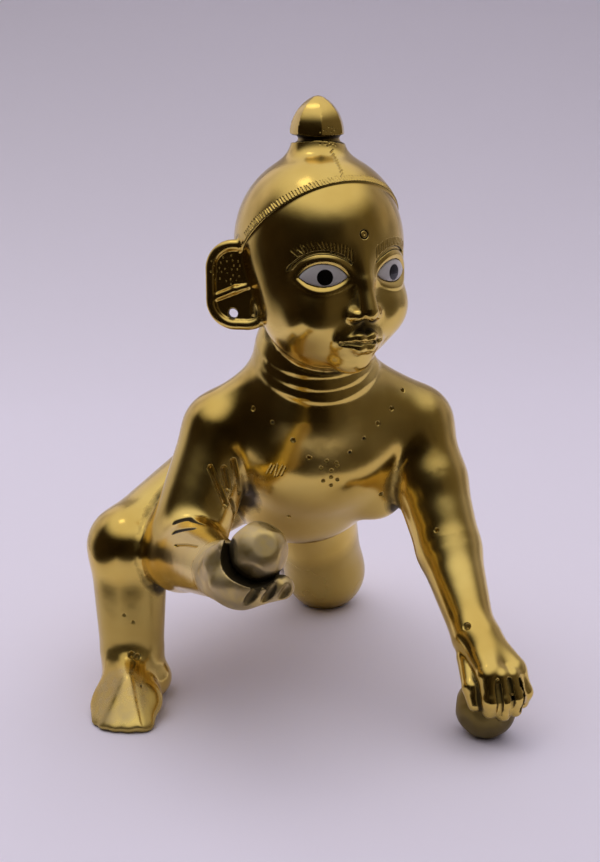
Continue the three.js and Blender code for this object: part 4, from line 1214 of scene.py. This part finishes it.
def inlaid_eye(name, side, in_frame, enamel):
    """An almond of enamel with a domed front, a rounded edge and a flat back."""
    turns, rings, edge_round, edge_sharpness = 96, 14, 0.12, 24
    to_almond = {True: (EYE_RISE, 1), False: (EYE_DROP, -1)}
    rows = []
    for n in range(turns):
        angle = math.tau * n / turns
        height, up = to_almond[angle < math.pi]
        radius = ((EYE_LENGTH / 2) ** 2 + height ** 2) / (2 * height)
        across, lift = math.cos(angle), abs(math.sin(angle))
        inward = lift * (height - radius)
        reach = inward + math.sqrt(inward ** 2 - (height - radius) ** 2 + radius ** 2)
        rows.append((reach * across, up * reach * lift))
    outline = np.array(rows)
    shares = np.sin(np.linspace(0, math.pi / 2, rings + 1))[1:]
    seat = math.sqrt(EYE_BULGE ** 2 - (EYE_LENGTH / 2) ** 2)
    front = [outline * share for share in shares]
    sunk = [edge_round * share ** edge_sharpness for share in shares]
    flat = np.concatenate([[(0, 0)], *front, outline])
    depth = seat - np.sqrt(EYE_BULGE ** 2 - (flat ** 2).sum(axis=1))
    depth[1:1 + rings * turns] += np.repeat(sunk, turns)
    depth[-turns:] = EYE_THICKNESS
    places = np.column_stack([flat[:, 0], depth, flat[:, 1]]) * MM / UNIT
    back_middle = len(places)
    places = np.vstack([places, (0, EYE_THICKNESS * MM / UNIT, 0)])

    faces = [(0, 1 + n, 1 + (n + 1) % turns) for n in range(turns)]
    for ring in range(rings):
        inner, outer = 1 + ring * turns, 1 + (ring + 1) * turns
        faces += [
            (inner + n, outer + n, outer + (n + 1) % turns, inner + (n + 1) % turns) for n in range(turns)
        ]
    last = 1 + rings * turns
    faces += [(last + n, back_middle, last + (n + 1) % turns) for n in range(turns)]

    to_head = HEAD @ eye_frame(side)
    drawn = [to_head @ Vector(place) for place in places]
    mesh = bpy.data.meshes.new(name)
    mesh.from_pydata(in_frame(drawn).tolist(), [], faces)
    mesh.polygons.foreach_set("use_smooth", [True] * len(mesh.polygons))
    mesh.materials.append(enamel)
    uv = mesh.uv_layers.new(name="eye")
    for loop in mesh.loops:
        x, _, z = places[loop.vertex_index] * UNIT / MM / EYE_LENGTH
        uv.data[loop.index].uv = 0.5 + side * x, 0.5 + z
    return new_object(name, mesh)


# The stage, the light and the camera

def sweep(board):
    """A table top that curves up into a backdrop. It ends close to the figure on its right and in front."""
    left, right, front, back, height, bend, steps = -0.09, 0.5, -0.09, 0.42, 0.5, 0.22, 24
    curve = [(back - bend + bend * math.sin(turn), bend - bend * math.cos(turn))
             for turn in (math.pi / 2 * n / steps for n in range(steps + 1))]
    profile = [(front, 0), *curve, (back, height)]
    places = [(x, y, z) for y, z in profile for x in (left, right)]
    faces = [(2 * n, 2 * n + 1, 2 * n + 3, 2 * n + 2) for n in range(len(profile) - 1)]
    piece = mesh_object("sweep", places, faces)
    piece.data.materials.append(board)


def soft_light(name, place, target, size, power, colour):
    lamp = bpy.data.lights.new(name, "AREA")
    lamp.shape = "RECTANGLE"
    lamp.size, lamp.size_y = size
    lamp.energy = power
    lamp.color = linear(colour)[:3]
    light = new_object(name, lamp)
    light.location = place
    light.rotation_euler = (Vector(target) - Vector(place)).to_track_quat("-Z", "Y").to_euler()
    return light


# The walls of the room, by the bearing in degrees from straight ahead of the figure to its left
WALL_TONES = [
    (-180, "#D2CAD9"), (-130, "#CCC4D3"), (-108, "#2A2118"), (-30, "#1C150E"), (8, "#2A2219"),
    (30, "#50473E"), (66, "#5E554D"), (96, "#8E8692"), (150, "#D2CAD9"), (180, "#D2CAD9"),
]


def surroundings():
    """The room that the brass mirrors.

    It is pale behind the figure and above it, dusky in front and on its right, and middling on its left.
    """
    world = bpy.data.worlds.new("room")
    bpy.context.scene.world = world
    world.use_nodes = True
    tree = world.node_tree
    tree.nodes.clear()
    towards = add(tree, "ShaderNodeTexCoord").outputs["Generated"]
    parts = add(tree, "ShaderNodeSeparateXYZ", {"Vector": towards})
    ahead = add(tree, "ShaderNodeMath", {0: parts.outputs["Y"], 1: -1.0}, operation="MULTIPLY")
    bearing = add(tree, "ShaderNodeMath", {0: parts.outputs["X"], 1: ahead}, operation="ARCTAN2")
    round_room = add(tree, "ShaderNodeMapRange", {
        "Value": bearing, "From Min": -math.pi, "From Max": math.pi,
    })
    wall = add(tree, "ShaderNodeValToRGB", {"Fac": round_room})
    wall.color_ramp.interpolation = "EASE"
    for _ in WALL_TONES[2:]:
        wall.color_ramp.elements.new(0.5)
    for stop, (degrees, code) in zip(wall.color_ramp.elements, WALL_TONES):
        stop.position, stop.color = 0.5 + degrees / 360, linear(code)
    clutter = add(tree, "ShaderNodeTexNoise", {"Vector": towards, "Scale": 2.2, "Detail": 2.0})
    uneven = add(tree, "ShaderNodeMapRange", {
        "Value": clutter, "From Min": 0.35, "From Max": 0.65, "To Min": 0.7, "To Max": 1.25,
    })
    walls = add(tree, "ShaderNodeVectorMath", {0: wall, "Scale": uneven}, operation="SCALE")
    overhead = add(tree, "ShaderNodeMapRange", {
        "Value": parts.outputs["Z"], "From Min": 0.5, "From Max": 0.85,
    }, interpolation_type="SMOOTHSTEP")
    colour = add(tree, "ShaderNodeMix", {
        "Factor": overhead, "A": walls, "B": linear("#F0EBF2"),
    }, data_type="RGBA")
    light = add(tree, "ShaderNodeBackground", {"Color": colour, "Strength": 1.0})
    add(tree, "ShaderNodeOutputWorld", {"Surface": light})


def camera(in_frame):
    """A close camera at the figure's right, looking down on it a little."""
    place, azimuth, looking_down, lens = in_frame((-52, -244.5, 115)), -12, 15, 57.1
    data = bpy.data.cameras.new("camera")
    data.sensor_width = 36
    data.lens = lens
    data.clip_start = 0.01
    eye = new_object("camera", data)
    eye.location = place
    eye.rotation_euler = math.radians(90 - looking_down), 0, math.radians(azimuth)
    bpy.context.scene.camera = eye


brass, enamel = polished_cast_brass(), fired_enamel()
casting_piece, in_frame = pressed_casting(brass)
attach(casting_piece, "root")
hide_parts("figure")
for name, side in ("right_eye", -1), ("left_eye", 1):
    eye = inlaid_eye(f"{name}_inlay", side, in_frame, enamel)
    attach(eye, "root")
    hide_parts(name)

sweep(pale_board())
surroundings()
overhead = soft_light("overhead", (-0.1, 0.12, 0.62), (-0.1, 0.14, 0), (1.4, 0.7), 1.75, "#FFFAF6")
overhead.visible_glossy = False  # the brass mirrors the room alone
soft_light("lamp", (-0.15, 0, 0.55), (0, 0, 0.04), (0.1, 0.1), 0.04, "#FFF6E8")
camera(in_frame)
bpy.context.scene.view_settings.view_transform = "Standard"
